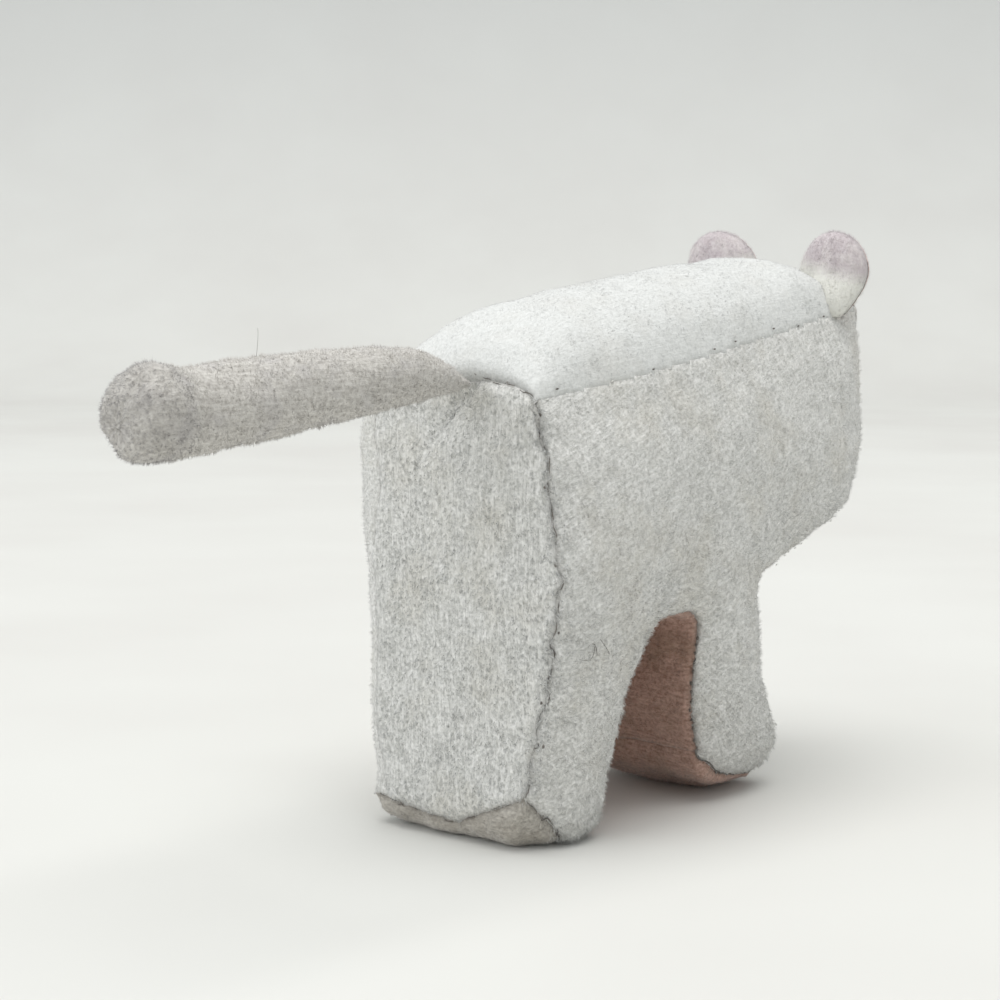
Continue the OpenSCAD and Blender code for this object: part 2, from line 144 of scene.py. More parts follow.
def nearest(tree, points):
    """Index of the nearest tree point, and its distance, for each point."""
    found = [tree.find((*p, 0.0)[:3]) for p in points]
    return np.array([f[1] for f in found]), np.array([f[2] for f in found])


def piece_from(name, points, faces, material, soft=True):
    """A piece from points in millimetres and its faces, finished in metres at the origin."""
    mesh = bpy.data.meshes.new(name)
    mesh.from_pydata((np.asarray(points, float) * MM).tolist(), [], faces)
    mesh.polygons.foreach_set("use_smooth", [soft] * len(mesh.polygons))
    mesh.materials.append(material)
    mesh.update()
    made = bpy.data.objects.new(name, mesh)
    bpy.context.collection.objects.link(made)
    return made


def settle(piece, body, stands_for=()):
    """Says which body a piece rides on and what it stands for."""
    if stands_for:
        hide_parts(*stands_for)
    if body:
        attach(piece, body)
    return piece


def remeshed(points, faces, size):
    """Even quads over a closed shape, as points and faces."""
    mesh = bpy.data.meshes.new("rough")
    mesh.from_pydata(np.asarray(points).tolist(), [], faces)
    rough = bpy.data.objects.new("rough", mesh)
    bpy.context.collection.objects.link(rough)
    step = rough.modifiers.new("even", "REMESH")
    step.mode, step.voxel_size = "VOXEL", size
    done = bpy.data.meshes.new_from_object(rough.evaluated_get(bpy.context.evaluated_depsgraph_get()))
    bpy.data.objects.remove(rough)
    place = np.empty(len(done.vertices) * 3)
    done.vertices.foreach_get("co", place)
    return place.reshape(-1, 3), [tuple(p.vertices) for p in done.polygons]


def normals_of(points, faces):
    """Unit normals at the points."""
    quads = np.array([(*f, f[-1])[:4] for f in faces])
    corner = points[quads]
    flat = np.cross(corner[:, 2] - corner[:, 0], corner[:, 3] - corner[:, 1])
    total = np.zeros_like(points)
    for k in range(4):
        np.add.at(total, quads[:, k], flat)
    return unit(total)


def softened(points, faces, rounds, held=None):
    """Points moved towards the middle of their neighbours."""
    pairs = np.array(list({(min(a, b), max(a, b)) for f in faces for a, b in zip(f, (*f[1:], f[0]))}))
    points = np.array(points, float)
    column = (-1, *[1] * (points.ndim - 1))
    count = np.bincount(pairs.ravel(), minlength=len(points)).reshape(column)
    held = np.zeros(count.shape, bool) if held is None else held.reshape(column)
    for _ in range(rounds):
        total = np.zeros_like(points)
        np.add.at(total, pairs[:, 0], points[pairs[:, 1]])
        np.add.at(total, pairs[:, 1], points[pairs[:, 0]])
        points = np.where(held, points, points + 0.6 * (total / count - points))
    return points


def tube(line, radius, sides=5):
    """A closed tube along a line, with a radius at each point."""
    line = np.asarray(line, float)
    radius = np.broadcast_to(radius, len(line))
    ahead = unit(np.gradient(line, axis=0))
    side = unit(np.cross(ahead, (0.31, 0.2, 0.93)))
    up = np.cross(ahead, side)
    turns = np.arange(sides) * 2 * math.pi / sides
    ring = (np.cos(turns)[None, :, None] * side[:, None] + np.sin(turns)[None, :, None] * up[:, None])
    points = (line[:, None] + ring * radius[:, None, None]).reshape(-1, 3)
    points[:, 2] = np.maximum(points[:, 2], ground)
    rows = np.arange(len(line) - 1)[:, None] * sides
    a, b = np.arange(sides), (np.arange(sides) + 1) % sides
    quads = np.stack([rows + a, rows + a + sides, rows + b + sides, rows + b], axis=-1)
    last = (len(line) - 1) * sides
    ends = [list(range(sides)), [last + k for k in reversed(range(sides))]]
    return points, [ends[0], *quads.reshape(-1, 4).tolist(), ends[1]]


def joined(shapes):
    """Several (points, faces) shapes as one."""
    points, faces, start = [], [], 0
    for p, f in shapes:
        points.append(p)
        faces += [[i + start for i in face] for face in f]
        start += len(p)
    return np.concatenate(points), faces


# ---------------------------------------------------------------- materials

def tone(red, green, blue):
    """A display colour from 0 to 255 as a shader colour."""
    shares = (red / 255, green / 255, blue / 255)
    return (*(c / 12.92 if c <= 0.04045 else ((c + 0.055) / 1.055) ** 2.4 for c in shares), 1.0)


def material(name, **values):
    """A new material and its shader, with plain values on the shader's own sockets."""
    made = bpy.data.materials.new(name)
    made.use_nodes = True
    shader = made.node_tree.nodes["Principled BSDF"]
    for socket, value in values.items():
        shader.inputs[socket.replace("_", " ")].default_value = value
    return made, shader


def node(tree, kind, sockets=None, **settings):
    """A new node with its settings, values and links."""
    made = tree.nodes.new(kind)
    for key, value in settings.items():
        setattr(made, key, value)
    for socket, value in (sockets or {}).items():
        if isinstance(value, bpy.types.NodeSocket):
            tree.links.new(value, made.inputs[socket])
        else:
            made.inputs[socket].default_value = value
    return made


def mix(tree, share, a, b):
    """Colour a turning into colour b with the share."""
    return node(tree, "ShaderNodeMix", {0: share, 6: a, 7: b}, data_type="RGBA").outputs[2]


def math_of(tree, operation, *values):
    """One sum on values or sockets."""
    return node(tree, "ShaderNodeMath", dict(enumerate(values)), operation=operation).outputs[0]


def ranged(tree, value, low, high, to_low=0.0, to_high=1.0):
    """The value moved from one range to another and held inside it."""
    return node(tree, "ShaderNodeMapRange", {"Value": value, "From Min": low, "From Max": high,
                                             "To Min": to_low, "To Max": to_high}).outputs[0]


def place_of(tree):
    """The place on the piece, in metres."""
    return node(tree, "ShaderNodeTexCoord").outputs["Object"]


def noise_of(tree, vector, scale, detail, rough):
    """Noise from 0 to 1."""
    return node(tree, "ShaderNodeTexNoise", {"Vector": vector, "Scale": scale, "Detail": detail,
                                             "Roughness": rough}).outputs["Fac"]


def grain(tree, size, detail=3.0, rough=0.55):
    """Noise with features about size mm across."""
    return noise_of(tree, place_of(tree), 1 / (size * MM), detail, rough)


def drawn_axes(along, length, width):
    """The three scaled axes of noise drawn out along a direction, with sizes in mm."""
    along = Vector(along).normalized()
    across = along.orthogonal().normalized()
    return {"Along": tuple(along / (length * MM)), "Across": tuple(across / (width * MM)),
            "Aside": tuple(along.cross(across) / (width * MM))}


def drawn(tree, axes):
    """Noise drawn out along its first axis."""
    place = place_of(tree)
    parts = [node(tree, "ShaderNodeVectorMath", {0: place, 1: axes[name]}, operation="DOT_PRODUCT")
             for name in ("Along", "Across", "Aside")]
    sockets = {letter: part.outputs["Value"] for letter, part in zip("XYZ", parts)}
    return noise_of(tree, node(tree, "ShaderNodeCombineXYZ", sockets).outputs[0], 1.0, 3.0, 0.6)


def bumped(tree, shader, height, strength, depth):
    """Relief of up to depth mm on a material's surface."""
    bump = node(tree, "ShaderNodeBump", {"Height": height, "Strength": strength, "Distance": depth * MM})
    tree.links.new(bump.outputs[0], shader.inputs["Normal"])


def group_of(name, inputs, outputs):
    """A shader group with named sockets: its tree, what it is given and what it puts out."""
    tree = bpy.data.node_groups.new(name, "ShaderNodeTree")
    for way, sockets in (("INPUT", inputs), ("OUTPUT", outputs)):
        for socket, kind in sockets.items():
            tree.interface.new_socket(name=socket, in_out=way, socket_type=f"NodeSocket{kind}")
    return tree, node(tree, "NodeGroupInput").outputs, node(tree, "NodeGroupOutput").inputs


def napped_group():
    """Napped cloth: streaks along its nap, uneven soiling, and painted shade read from the seam attribute,
    which on the tail also carries the wear of its end.
    """
    tree, given, out = group_of(
        "napped_cloth",
        {"Along": "Vector", "Across": "Vector", "Aside": "Vector", "Light": "Color", "Dark": "Color",
         "Soil": "Color", "Soil Scale": "Float", "Soil Share": "Float", "Seam Shade Share": "Float"},
        {"Colour": "Color", "Height": "Float", "Specks": "Float"})
    specks = grain(tree, 0.3, 2.0)
    woven = math_of(tree, "ADD", drawn(tree, given), specks)
    colour = mix(tree, ranged(tree, woven, 0.72, 1.28), given["Dark"], given["Light"])
    stains = noise_of(tree, place_of(tree), given["Soil Scale"], 4.0, 0.6)
    colour = mix(tree, ranged(tree, stains, 0.48, 0.74, 0.0, given["Soil Share"]), colour, given["Soil"])
    # Painted shade: the seam attribute darkens the colour towards grey-brown in seam grooves and in the
    # tail's slit; on the tail it also carries the real wear of the tail's end.
    darkening = node(tree, "ShaderNodeAttribute", attribute_name="seam").outputs["Fac"]
    colour = mix(tree, ranged(tree, darkening, 0.0, 1.0, 0.0, given["Seam Shade Share"]), colour, tone(96, 90, 84))
    for name, value in (("Colour", colour), ("Height", woven), ("Specks", specks)):
        tree.links.new(value, out[name])
    return tree


def cream_group():
    """The ears fade to the body's cream on their inner lower part."""
    tree, given, out = group_of("cream_below", {"Colour": "Color", "Specks": "Float"}, {"Colour": "Color"})
    place = node(tree, "ShaderNodeSeparateXYZ", {0: place_of(tree)}).outputs
    slope = math_of(tree, "MULTIPLY_ADD", math_of(tree, "ABSOLUTE", place["X"]), 0.28, place["Z"])
    ragged = math_of(tree, "MULTIPLY_ADD", given["Specks"], 0.0016, slope)
    faded = mix(tree, ranged(tree, ragged, 0.0558, 0.0540), given["Colour"], tone(228, 227, 220))
    tree.links.new(faded, out["Colour"])
    return tree


def metal_group():
    """Metal with an uneven tone, dulled patches and fine scratches."""
    tree, given, out = group_of(
        "worn_metal", {"Colour": "Color", "Worn Colour": "Color", "Bright": "Float", "Dull": "Float"},
        {"Colour": "Color", "Roughness": "Float", "Scratches": "Float"})
    colour = mix(tree, ranged(tree, grain(tree, 3.0), 0.35, 0.7), given["Colour"], given["Worn Colour"])
    rough = ranged(tree, grain(tree, 0.5, 4.0), 0.3, 0.7, given["Bright"], given["Dull"])
    scratches = drawn(tree, drawn_axes((0.2, 1, 0.4), 3.0, 0.06))
    for name, value in (("Colour", colour), ("Roughness", rough), ("Scratches", scratches)):
        tree.links.new(value, out[name])
    return tree


napped, cream_below, worn_metal = napped_group(), cream_group(), metal_group()


def velvet(name, light, dark, soil, nap, length=2.2, width=0.2, soil_size=7.0, soil_share=0.5, relief=0.3,
           sheen=0.25, seams=True, cream=False):
    """Short-napped cloth, with its streaks' sizes in mm. With seams on, its colour darkens by the painted
    shade stored on its points.
    """
    made, shader = material(name, Roughness=0.95, Sheen_Weight=sheen, Sheen_Roughness=0.5,
                            Specular_IOR_Level=0.12)
    tree = made.node_tree
    cloth_look = node(tree, "ShaderNodeGroup", {
        **drawn_axes(nap, length, width), "Light": light, "Dark": dark, "Soil": soil,
        "Soil Scale": 1 / (soil_size * MM), "Soil Share": soil_share, "Seam Shade Share": 0.75 if seams else 0.0,
    }, node_tree=napped).outputs
    colour = cloth_look["Colour"]
    if cream:
        colour = node(tree, "ShaderNodeGroup", {"Colour": colour, "Specks": cloth_look["Specks"]},
                      node_tree=cream_below).outputs["Colour"]
    tree.links.new(colour, shader.inputs["Base Color"])
    if relief:
        bumped(tree, shader, cloth_look["Height"], relief, 0.3)
    return made


def metal(name, colour, bright, scratch):
    """Worn metal, with the roughness of its brightest spots and the strength of its scratches."""
    made, shader = material(name, Metallic=1.0)
    tree = made.node_tree
    worn_colour = (*(0.6 * c for c in colour[:3]), 1.0)
    look = node(tree, "ShaderNodeGroup", {"Colour": colour, "Worn Colour": worn_colour, "Bright": bright,
                                          "Dull": bright + 0.18}, node_tree=worn_metal).outputs
    tree.links.new(look["Colour"], shader.inputs["Base Color"])
    tree.links.new(look["Roughness"], shader.inputs["Roughness"])
    bumped(tree, shader, look["Scratches"], scratch, 0.02)
    return made


white = tone(240, 239, 236)
white_dark = tone(190, 190, 185)
white_soil = tone(206, 202, 190)
pink = tone(204, 172, 158)
grey = tone(198, 193, 184)
taupe = tone(216, 213, 207)

side_nap, rump_nap, back_nap = (0, -1, 0.42), (0, 0, -1), (0, -1, 0.1)
cloths = {
    "side": velvet("side_velvet", white, white_dark, white_soil, side_nap, length=1.1, width=0.25,
                   relief=0.5),
    "rump": velvet("rump_velvet", white, white_dark, white_soil, rump_nap, length=2.2, relief=0.45),
    # The back's velvet is a darker copy of the white velvet: painted shade that tones down the overhead light
    # on the top.
    "back": velvet("back_velvet_painted_shade", tone(226, 227, 225), tone(208, 209, 206), tone(206, 204, 198), back_nap,
                   length=1.2),
    "gusset": velvet("gusset_velvet", pink, tone(148, 116, 102), tone(138, 116, 96), (1, 0, 0.1), length=1.6,
                     width=0.3, soil_size=5.0, soil_share=0.7),
    "rear_sole": velvet("rear_sole_velvet", grey, tone(150, 145, 137), tone(138, 128, 114), (1, 0, 0),
                        length=1.2),
    "ear": velvet("ear_velvet", tone(208, 200, 202), tone(186, 175, 177), tone(236, 232, 226), (0, 0.2, 1),
                  length=1.0, soil_size=3.0, seams=False, cream=True),
    "ear_lining": velvet("ear_lining_velvet", tone(226, 204, 198), tone(190, 160, 154), tone(210, 192, 184),
                         (0, 0, 1), length=1.0, seams=False),
    "tail": velvet("tail_felt", taupe, tone(176, 172, 166), tone(184, 181, 180), (0, 1, 0), length=2.6,
                   width=0.25, soil_size=3.0, soil_share=0.6, sheen=0.3),
    "nose": velvet("nose_felt", tone(205, 150, 146), tone(170, 112, 108), tone(180, 140, 130), (0, 0, 1),
                   length=0.6, soil_size=2.0, seams=False),
}
piles = {
    "side": velvet("side_pile", tone(246, 246, 243), tone(209, 208, 204), tone(214, 208, 198), side_nap,
                   length=0.9, width=0.25, soil_share=0.5, relief=0, seams=False),
    "rump": velvet("rump_pile", tone(242, 242, 239), tone(203, 204, 202), tone(205, 203, 198), rump_nap,
                   soil_share=0.4, relief=0, seams=False),
    # The back's pile is likewise a darker copy of the white pile: painted shade on the top.
    "back": velvet("back_pile_painted_shade", tone(230, 231, 230), tone(216, 217, 215), tone(210, 208, 203), back_nap,
                   soil_share=0.4, relief=0, seams=False),
    "gusset": velvet("gusset_pile", tone(234, 205, 190), tone(184, 150, 135), tone(170, 146, 124),
                     (1, 0, 0.1),
                     relief=0, soil_size=5.0, seams=False),
    "rear_sole": velvet("rear_sole_pile", tone(206, 201, 193), tone(168, 163, 154), tone(150, 140, 126),
                        (1, 0, 0), relief=0, seams=False),
    "ear": velvet("ear_pile", tone(214, 207, 209), tone(186, 178, 180), tone(238, 235, 230), (0, 0.2, 1),
                  soil_size=3.0, relief=0, seams=False, cream=True),
    "tail_end": velvet("tail_end_fibres", tone(200, 197, 195), tone(164, 161, 159), tone(156, 153, 155),
                       (0, 1, 0), soil_size=2.5, relief=0, seams=False),
    "tail": velvet("tail_fibres", tone(228, 225, 220), tone(192, 188, 182), tone(200, 198, 198), (0, 1, 0),
                   soil_size=3.0, relief=0, seams=False),
}
threads = {
    "dark": velvet("dark_thread", tone(126, 120, 113), tone(84, 79, 74), tone(100, 92, 84), (0, 0, 1),
                   length=0.3, width=0.05, relief=0, seams=False),
    "white": velvet("white_thread", tone(240, 240, 236), tone(210, 210, 205), tone(220, 216, 208), (0, 1, 0),
                    length=0.3, width=0.05, relief=0, seams=False),
    "hair": velvet("dark_hair", tone(70, 60, 52), tone(44, 36, 30), tone(60, 50, 42), (0, 0, 1), relief=0,
                   seams=False),
}


def wadding():
    """Loose cotton filling."""
    made, shader = material("stuffing", Roughness=1.0, Sheen_Weight=0.5)
    tree = made.node_tree
    tree.links.new(mix(tree, grain(tree, 1.2, 6.0, 0.7), tone(206, 202, 190), tone(246, 245, 240)),
                   shader.inputs["Base Color"])
    bumped(tree, shader, grain(tree, 0.8, 6.0, 0.7), 0.9, 0.6)
    return made


def glossy_bead():
    """Black glass with a faintly uneven surface."""
    made, shader = material("black_bead", Base_Color=(0.008, 0.008, 0.009, 1), Roughness=0.12,
                            Coat_Weight=0.6)
    bumped(made.node_tree, shader, grain(made.node_tree, 0.25, 2.0), 0.08, 0.02)
    return made


bead, stuffing = glossy_bead(), wadding()
metals = {
    "steel": metal("steel", (0.56, 0.57, 0.58, 1), 0.28, 0.25),
    "spring_steel": metal("spring_steel", (0.10, 0.13, 0.22, 1), 0.25, 0.2),
    "nickel": metal("nickel", (0.4, 0.38, 0.34, 1), 0.34, 0.2),
    "brass": metal("brass", (0.78, 0.56, 0.22, 1), 0.26, 0.25),
}


# ---------------------------------------------------------------- the body's cut

def dense_outline():
    """The side outline as points, outward directions and distances along it."""
    closed = rounded(side_corners)
    line = evenly(np.vstack([closed, closed[:1]]), 0.1)[:-1]
    ahead = unit(np.roll(line, -2, axis=0) - np.roll(line, 2, axis=0))
    run = np.concatenate([[0], np.cumsum(np.linalg.norm(np.diff(line, axis=0), axis=1))])
    return line, np.stack([ahead[:, 1], -ahead[:, 0]], axis=1), run


outline, outward, run = dense_outline()
total_run = run[-1] + 0.1
outline_tree = tree_of(outline)


def run_at(s, z):
    """Distance along the outline of its point nearest to a place."""
    return run[outline_tree.find((s, z, 0))[1]]


back_rump = run_at(0, rump_seam_z) - total_run      # distances on the rump are under 0
sole_gusset, gusset_front = run_at(9.7, 0.6), run_at(23.5, 5.2)
front_chest, chest_face, face_back = run_at(37.4, 1.2), run_at(50.6, 30.0), run_at(52.0, face_seam_z)
strips = [("rump_panel", back_rump, 0.0, 0.9), ("arch_gusset", sole_gusset, gusset_front, 0.5),
          ("chest_panel", front_chest, chest_face, 0.8), ("face_panel", chest_face, face_back, 1.5)]


def sole_seam_z(u):
    """Height of the seam between rump and rear sole, across the body."""
    return through(u, (-1, 5.1), (-0.6, 3.6), (-0.23, 2.4), (0, 1.6), (0.48, 2.1), (1, 2.8))


def sole_seam_run(u):
    """The same seam's distance along the outline: under 0 above the rump's rounded lower corner."""
    height = sole_seam_z(u)
    corner = slice(39, None, -1)        # the outline's points on that corner, from the top down
    return np.interp(height, outline[corner, 1], run[corner], right=0) - np.maximum(height - 3.0, 0)


def hem(s, side):
    """Height that a sole reaches up a side panel."""
    corner = np.where(side < 0, sole_corner_z[RIGHT], sole_corner_z[LEFT])
    front = through(s, (23, 5.6), (24.9, 4.2), (27.5, 2.6), (31, 1.7), (37.5, 1.2))
    return np.where(s < 16, np.maximum(0.12, corner - (corner - 0.12) * s / 5), front)


def left_rump_x(z):
    """Slab x of the left rump seam, which runs down inside the body's rounded left corner."""
    return slab_half * through(z, (2.8, 0.79), (9, 0.87), (17, 0.86), (25, 0.86), (33, 0.69), (40, 0.6))


def seam_height(s):
    """Height of the side seams under the back."""
    return rump_seam_z + (face_seam_z - rump_seam_z) * s / body_length


# Half the body's width at its seams, by height
half_widths = {
    RIGHT: (((0, 5.6), (5, 7.9), (15, 9.7), (22, 10.5), (27, 10.5), (34, 9.3), (40, 8.0)),
            ((0, 9.1), (5, 9.4), (15, 10.0), (26, 10.8), (34, 10.8), (44, 9.9), (48, 9.5))),
    LEFT: (((0, 9.7), (3, 10.6), (8, 11.5), (13.5, 12.0), (21, 12.4), (30, 13.6), (36, 13.8), (40, 12.0)),
           ((0, 10.4), (5, 10.2), (15, 10.9), (26, 11.3), (34, 10.8), (44, 9.9), (48, 9.5))),
}
front_width = ((0, 6.2), (2, 8.0), (5, 9.2), (11, 9.9), (20, 10.6), (26, 10.8), (34, 10.8), (44, 9.9),
               (48, 9.5))
foot_curl = {RIGHT: 1.7, LEFT: 3.2}     # radius of the feet's lower edge


def half_width(s, z, x):
    """Half the body's width at its seams, on the side that x is on."""
    turn = smooth((s + 0.5) / (6 + through(z, (8, 0.5), (20, 9.0))))
    front = smooth((s - 15) / 10)
    half = np.zeros(np.shape(s))
    for way, (rear, leg) in half_widths.items():
        here = through(z, *rear) + (through(z, *leg) - through(z, *rear)) * turn
        half = np.where((x < 0) == (way == RIGHT), here + (through(z, *front_width) - here) * front, half)
    curl = np.where(x > 0, foot_curl[LEFT], foot_curl[RIGHT])
    under = np.clip(curl - z, 0, curl)
    return half * (1 - 0.05 * smooth((s - 43) / 9)) - curl + np.sqrt(curl ** 2 - under ** 2)


def rise(s):
    """Height of the back's dome above the side seams."""
    full = 1.7 + 5.9 * (1 - np.exp(-np.maximum(s, 0) / 2.6))
    return full * (1 - 0.08 * smooth((s - 30) / 8) - 0.4 * smooth((s - 40) / 13))


def shoulder(s):
    """How square the dome is: 1 is an oval, and less is fuller."""
    return 1 - 0.42 * smooth((s - 28) / 20)


def leaning(s, z):
    """How far left the rear leg stands."""
    return lean * smooth(1 - z / 22) * smooth((26 - s) / 4)


def pillow(depth):
    """How far stuffing pushes a side panel out, at a distance in from its seams."""
    return 1.75 * (1 - np.exp(-np.maximum(depth, 0) / 3))


def on_outline(s, z):
    """The outline's nearest point, its distance along the outline and the distance to it."""
    index, distance = nearest(outline_tree, np.stack([s, z], axis=1))
    t = run[index]
    return index, np.where(t > total_run + back_rump - 1e-6, t - total_run, t), distance


def shaped(points, puff=None):
    """Slab points (x, s, z) moved to the stuffed body's surface, in the frame's millimetres."""
    x, s, z = points.T
    u = np.clip(x / slab_half, -1, 1)
    index, t, depth = on_outline(s, z)
    top = smooth(1 - (seam_height(s) - z) / 10)
    bulge = np.zeros(len(x))
    for _, start, end, amount in strips:
        share = np.clip((t - start) / (end - start), 0, 1)
        bulge += amount * np.sqrt(np.sin(math.pi * share))
    bulge *= (1 - u ** 2) * (np.abs(u) < 0.999)
    s2, z2 = s + outward[index, 0] * bulge, z + outward[index, 1] * bulge
    puff = pillow(depth) * (np.abs(u) > 0.93) if puff is None else puff
    puff = puff * np.where(x > 0, 0.4 + 0.6 * smooth(s / 12), 1)
    puff *= 1 - 0.5 * np.exp(-(seam_height(s) - z) / 3)
    half = half_width(s, z, x) + puff
    across = half * (u + (np.sin(u * math.pi / 2) - u) * top) + leaning(s, z)
    lifted = z2 + rise(s) * np.cos(u * math.pi / 2) ** shoulder(s) * top ** 2
    return np.stack([across, rump_y - s2, np.maximum(lifted, 0)], axis=1)


def panel_at(x, s, z):
    """Which panel a slab point is on."""
    u = x / slab_half
    side = slab_half - np.abs(x)
    _, t, depth = on_outline(s, z)
    names = np.full(len(x), "back_panel", dtype=object)
    names[t < 0] = "rump_panel"
    names[(t >= sole_seam_run(u)) & (t < sole_gusset)] = "rear_sole"
    names[(t >= sole_gusset) & (t < gusset_front)] = "arch_gusset"
    names[(t >= gusset_front) & (t < front_chest)] = "front_sole"
    names[(t >= front_chest) & (t < chest_face)] = "chest_panel"
    names[(t >= chest_face) & (t < face_back)] = "face_panel"
    names[(t < sole_seam_run(u)) & (t < 20)] = "rump_panel"
    names[(names == "rump_panel") & (x > left_rump_x(z))] = "left_side_panel"
    flank = depth > side
    for way, name in ((RIGHT, "right_side_panel"), (LEFT, "left_side_panel")):
        here = flank & (x * way > 0)
        names[here] = name
        names[here & (z < hem(s, way)) & (s < 16)] = "rear_sole"
        names[here & (z < hem(s, way)) & (s > 16)] = "front_sole"
    return names


def seam_lines():
    """Every seam as a line of slab points, by name."""
    lines = {}
    u = np.linspace(-1, 1, 161)
    for name, t in (("rump_top", back_rump + total_run), ("sole_gusset", sole_gusset),
                    ("gusset_front", gusset_front), ("front_chest", front_chest), ("chest_face", chest_face),
                    ("face_top", face_back)):
        s, z = outline[np.argmin(np.abs(run - t))]
        lines[name] = np.stack([u * slab_half, np.full(len(u), s), np.full(len(u), z)], axis=1)
    t = sole_seam_run(u) % total_run
    index = np.minimum(np.searchsorted(run, t), len(run) - 1)
    lines["rump_sole"] = np.column_stack([u * slab_half, outline[index]])
    z = np.arange(sole_seam_z(0.8), rump_seam_z, 0.1)
    left_rump = np.column_stack([left_rump_x(z), np.full(len(z), 0.0), z])
    low = left_rump[left_rump[:, 2] < 3]
    low[:, 1] = outline[[outline_tree.find((0, k, 0))[1] for k in low[:, 2]], 0]
    left_rump[:len(low)] = low
    for way, side in ((RIGHT, "right"), (LEFT, "left")):
        t = np.where(run > total_run + back_rump - 1e-6, run - total_run, run)
        for name, start, end in (("top", face_back, total_run + back_rump), ("rump", back_rump, 0.0),
                                 ("arch", sole_gusset, gusset_front), ("front", front_chest, chest_face),
                                 ("face", chest_face, face_back)):
            above_hem = outline[:, 1] > hem(outline[:, 0], way) - 0.05
            here = outline[(t >= start) & (t <= end) & above_hem]
            lines[f"{side}_{name}"] = np.column_stack([np.full(len(here), way * slab_half), here])
        lines["left_rump"] = left_rump
        for name, low, high in (("rear_hem", 0.0, 9.7), ("front_hem", 23.2, 37.6)):
            s = np.arange(low, high, 0.1)
            lines[f"{side}_{name}"] = np.column_stack([np.full(len(s), way * slab_half), s, hem(s, way)])
    return lines


def cut_body():
    """The body's skin: points, faces, the panel of each face and the seams as slab lines."""
    closed = rounded(side_corners)
    count = len(closed)
    points = np.vstack([np.column_stack([np.full(count, way * slab_half), -closed[:, 0], closed[:, 1]])
                        for way in (-1, 1)])
    ends = [tuple(reversed(range(count))), tuple(range(count, 2 * count))]
    around = [(i, (i + 1) % count, (i + 1) % count + count, i + count) for i in range(count)]
    points, faces = remeshed(points, ends + around, cell)
    slab = points * (1, -1, 1)
    middle = np.array([slab[list(f)].mean(0) for f in faces])
    panels = panel_at(*middle.T)

    seams = seam_lines()
    all_seams = np.vstack(list(seams.values()))
    seam_tree = tree_of(all_seams)
    meets = [set() for _ in slab]
    for face, panel in zip(faces, panels):
        for i in face:
            meets[i].add(panel)
    edge = np.array([i for i, m in enumerate(meets) if len(m) > 1])
    index, distance = nearest(seam_tree, slab[edge])
    close = distance < 0.9
    slab[edge[close]] = all_seams[index[close]]

    _, _, depth = on_outline(slab[:, 1], slab[:, 2])
    flat = np.abs(slab[:, 0]) > slab_half * 0.93
    puff = softened(pillow(depth) * flat, faces, 25, held=~flat | (depth < 0.35))
    body = shaped(slab, puff)
    held = np.zeros(len(slab), bool)
    held[edge] = True
    body = softened(body, faces, 4, held=held)
    corner = (slab[:, 0] > slab_half * 0.86) & (slab[:, 1] < 2.2) & (slab[:, 2] > 1.5)
    body = softened(body, faces, 30, held=held | ~corner)
    shoulders = (np.abs(slab[:, 0]) > slab_half * 0.7) & (seam_height(slab[:, 1]) - slab[:, 2] < 2.5)
    shoulders &= (slab[:, 1] > 4) & (slab[:, 1] < 51)
    body = softened(body, faces, 14, held=~shoulders)
    return body, faces, panels, seams


# ---------------------------------------------------------------- seams, panels and pile

seam_depth = {"right_rump": 0.36, "rump_top": 0.26, "rump_sole": 0.3, "right_top": 0.05, "left_top": 0.06,
              "left_rump": 0.1, "gusset_front": 0.1}
# Painted shade: how dark the cloth's colour is painted in each seam's groove; seams not listed get 0.35.
painted_seam_shade = {"right_rump": 0.5, "rump_top": 0.4, "rump_sole": 0.5, "right_top": 0.0, "left_top": 0.0,
             "right_arch": 0.7, "right_rear_hem": 0.4, "left_rump": 0.0, "gusset_front": 0.1}


def wavered(points, seams):
    """The re-sewn right rump seam wanders, and so does the cloth beside it."""
    line = shaped(seams["right_rump"])
    _, away = nearest(tree_of(line), points)
    wander = np.array([noise.noise(Vector((0, 0, z / 2.6 + 5))) + 0.5 * noise.noise(Vector((3, 0, z / 1.1)))
                       for z in points[:, 2]])
    return points + (np.exp(-(away / 2.2) ** 2) * wander * 0.55)[:, None] * np.array((0.75, 0.5, 0))


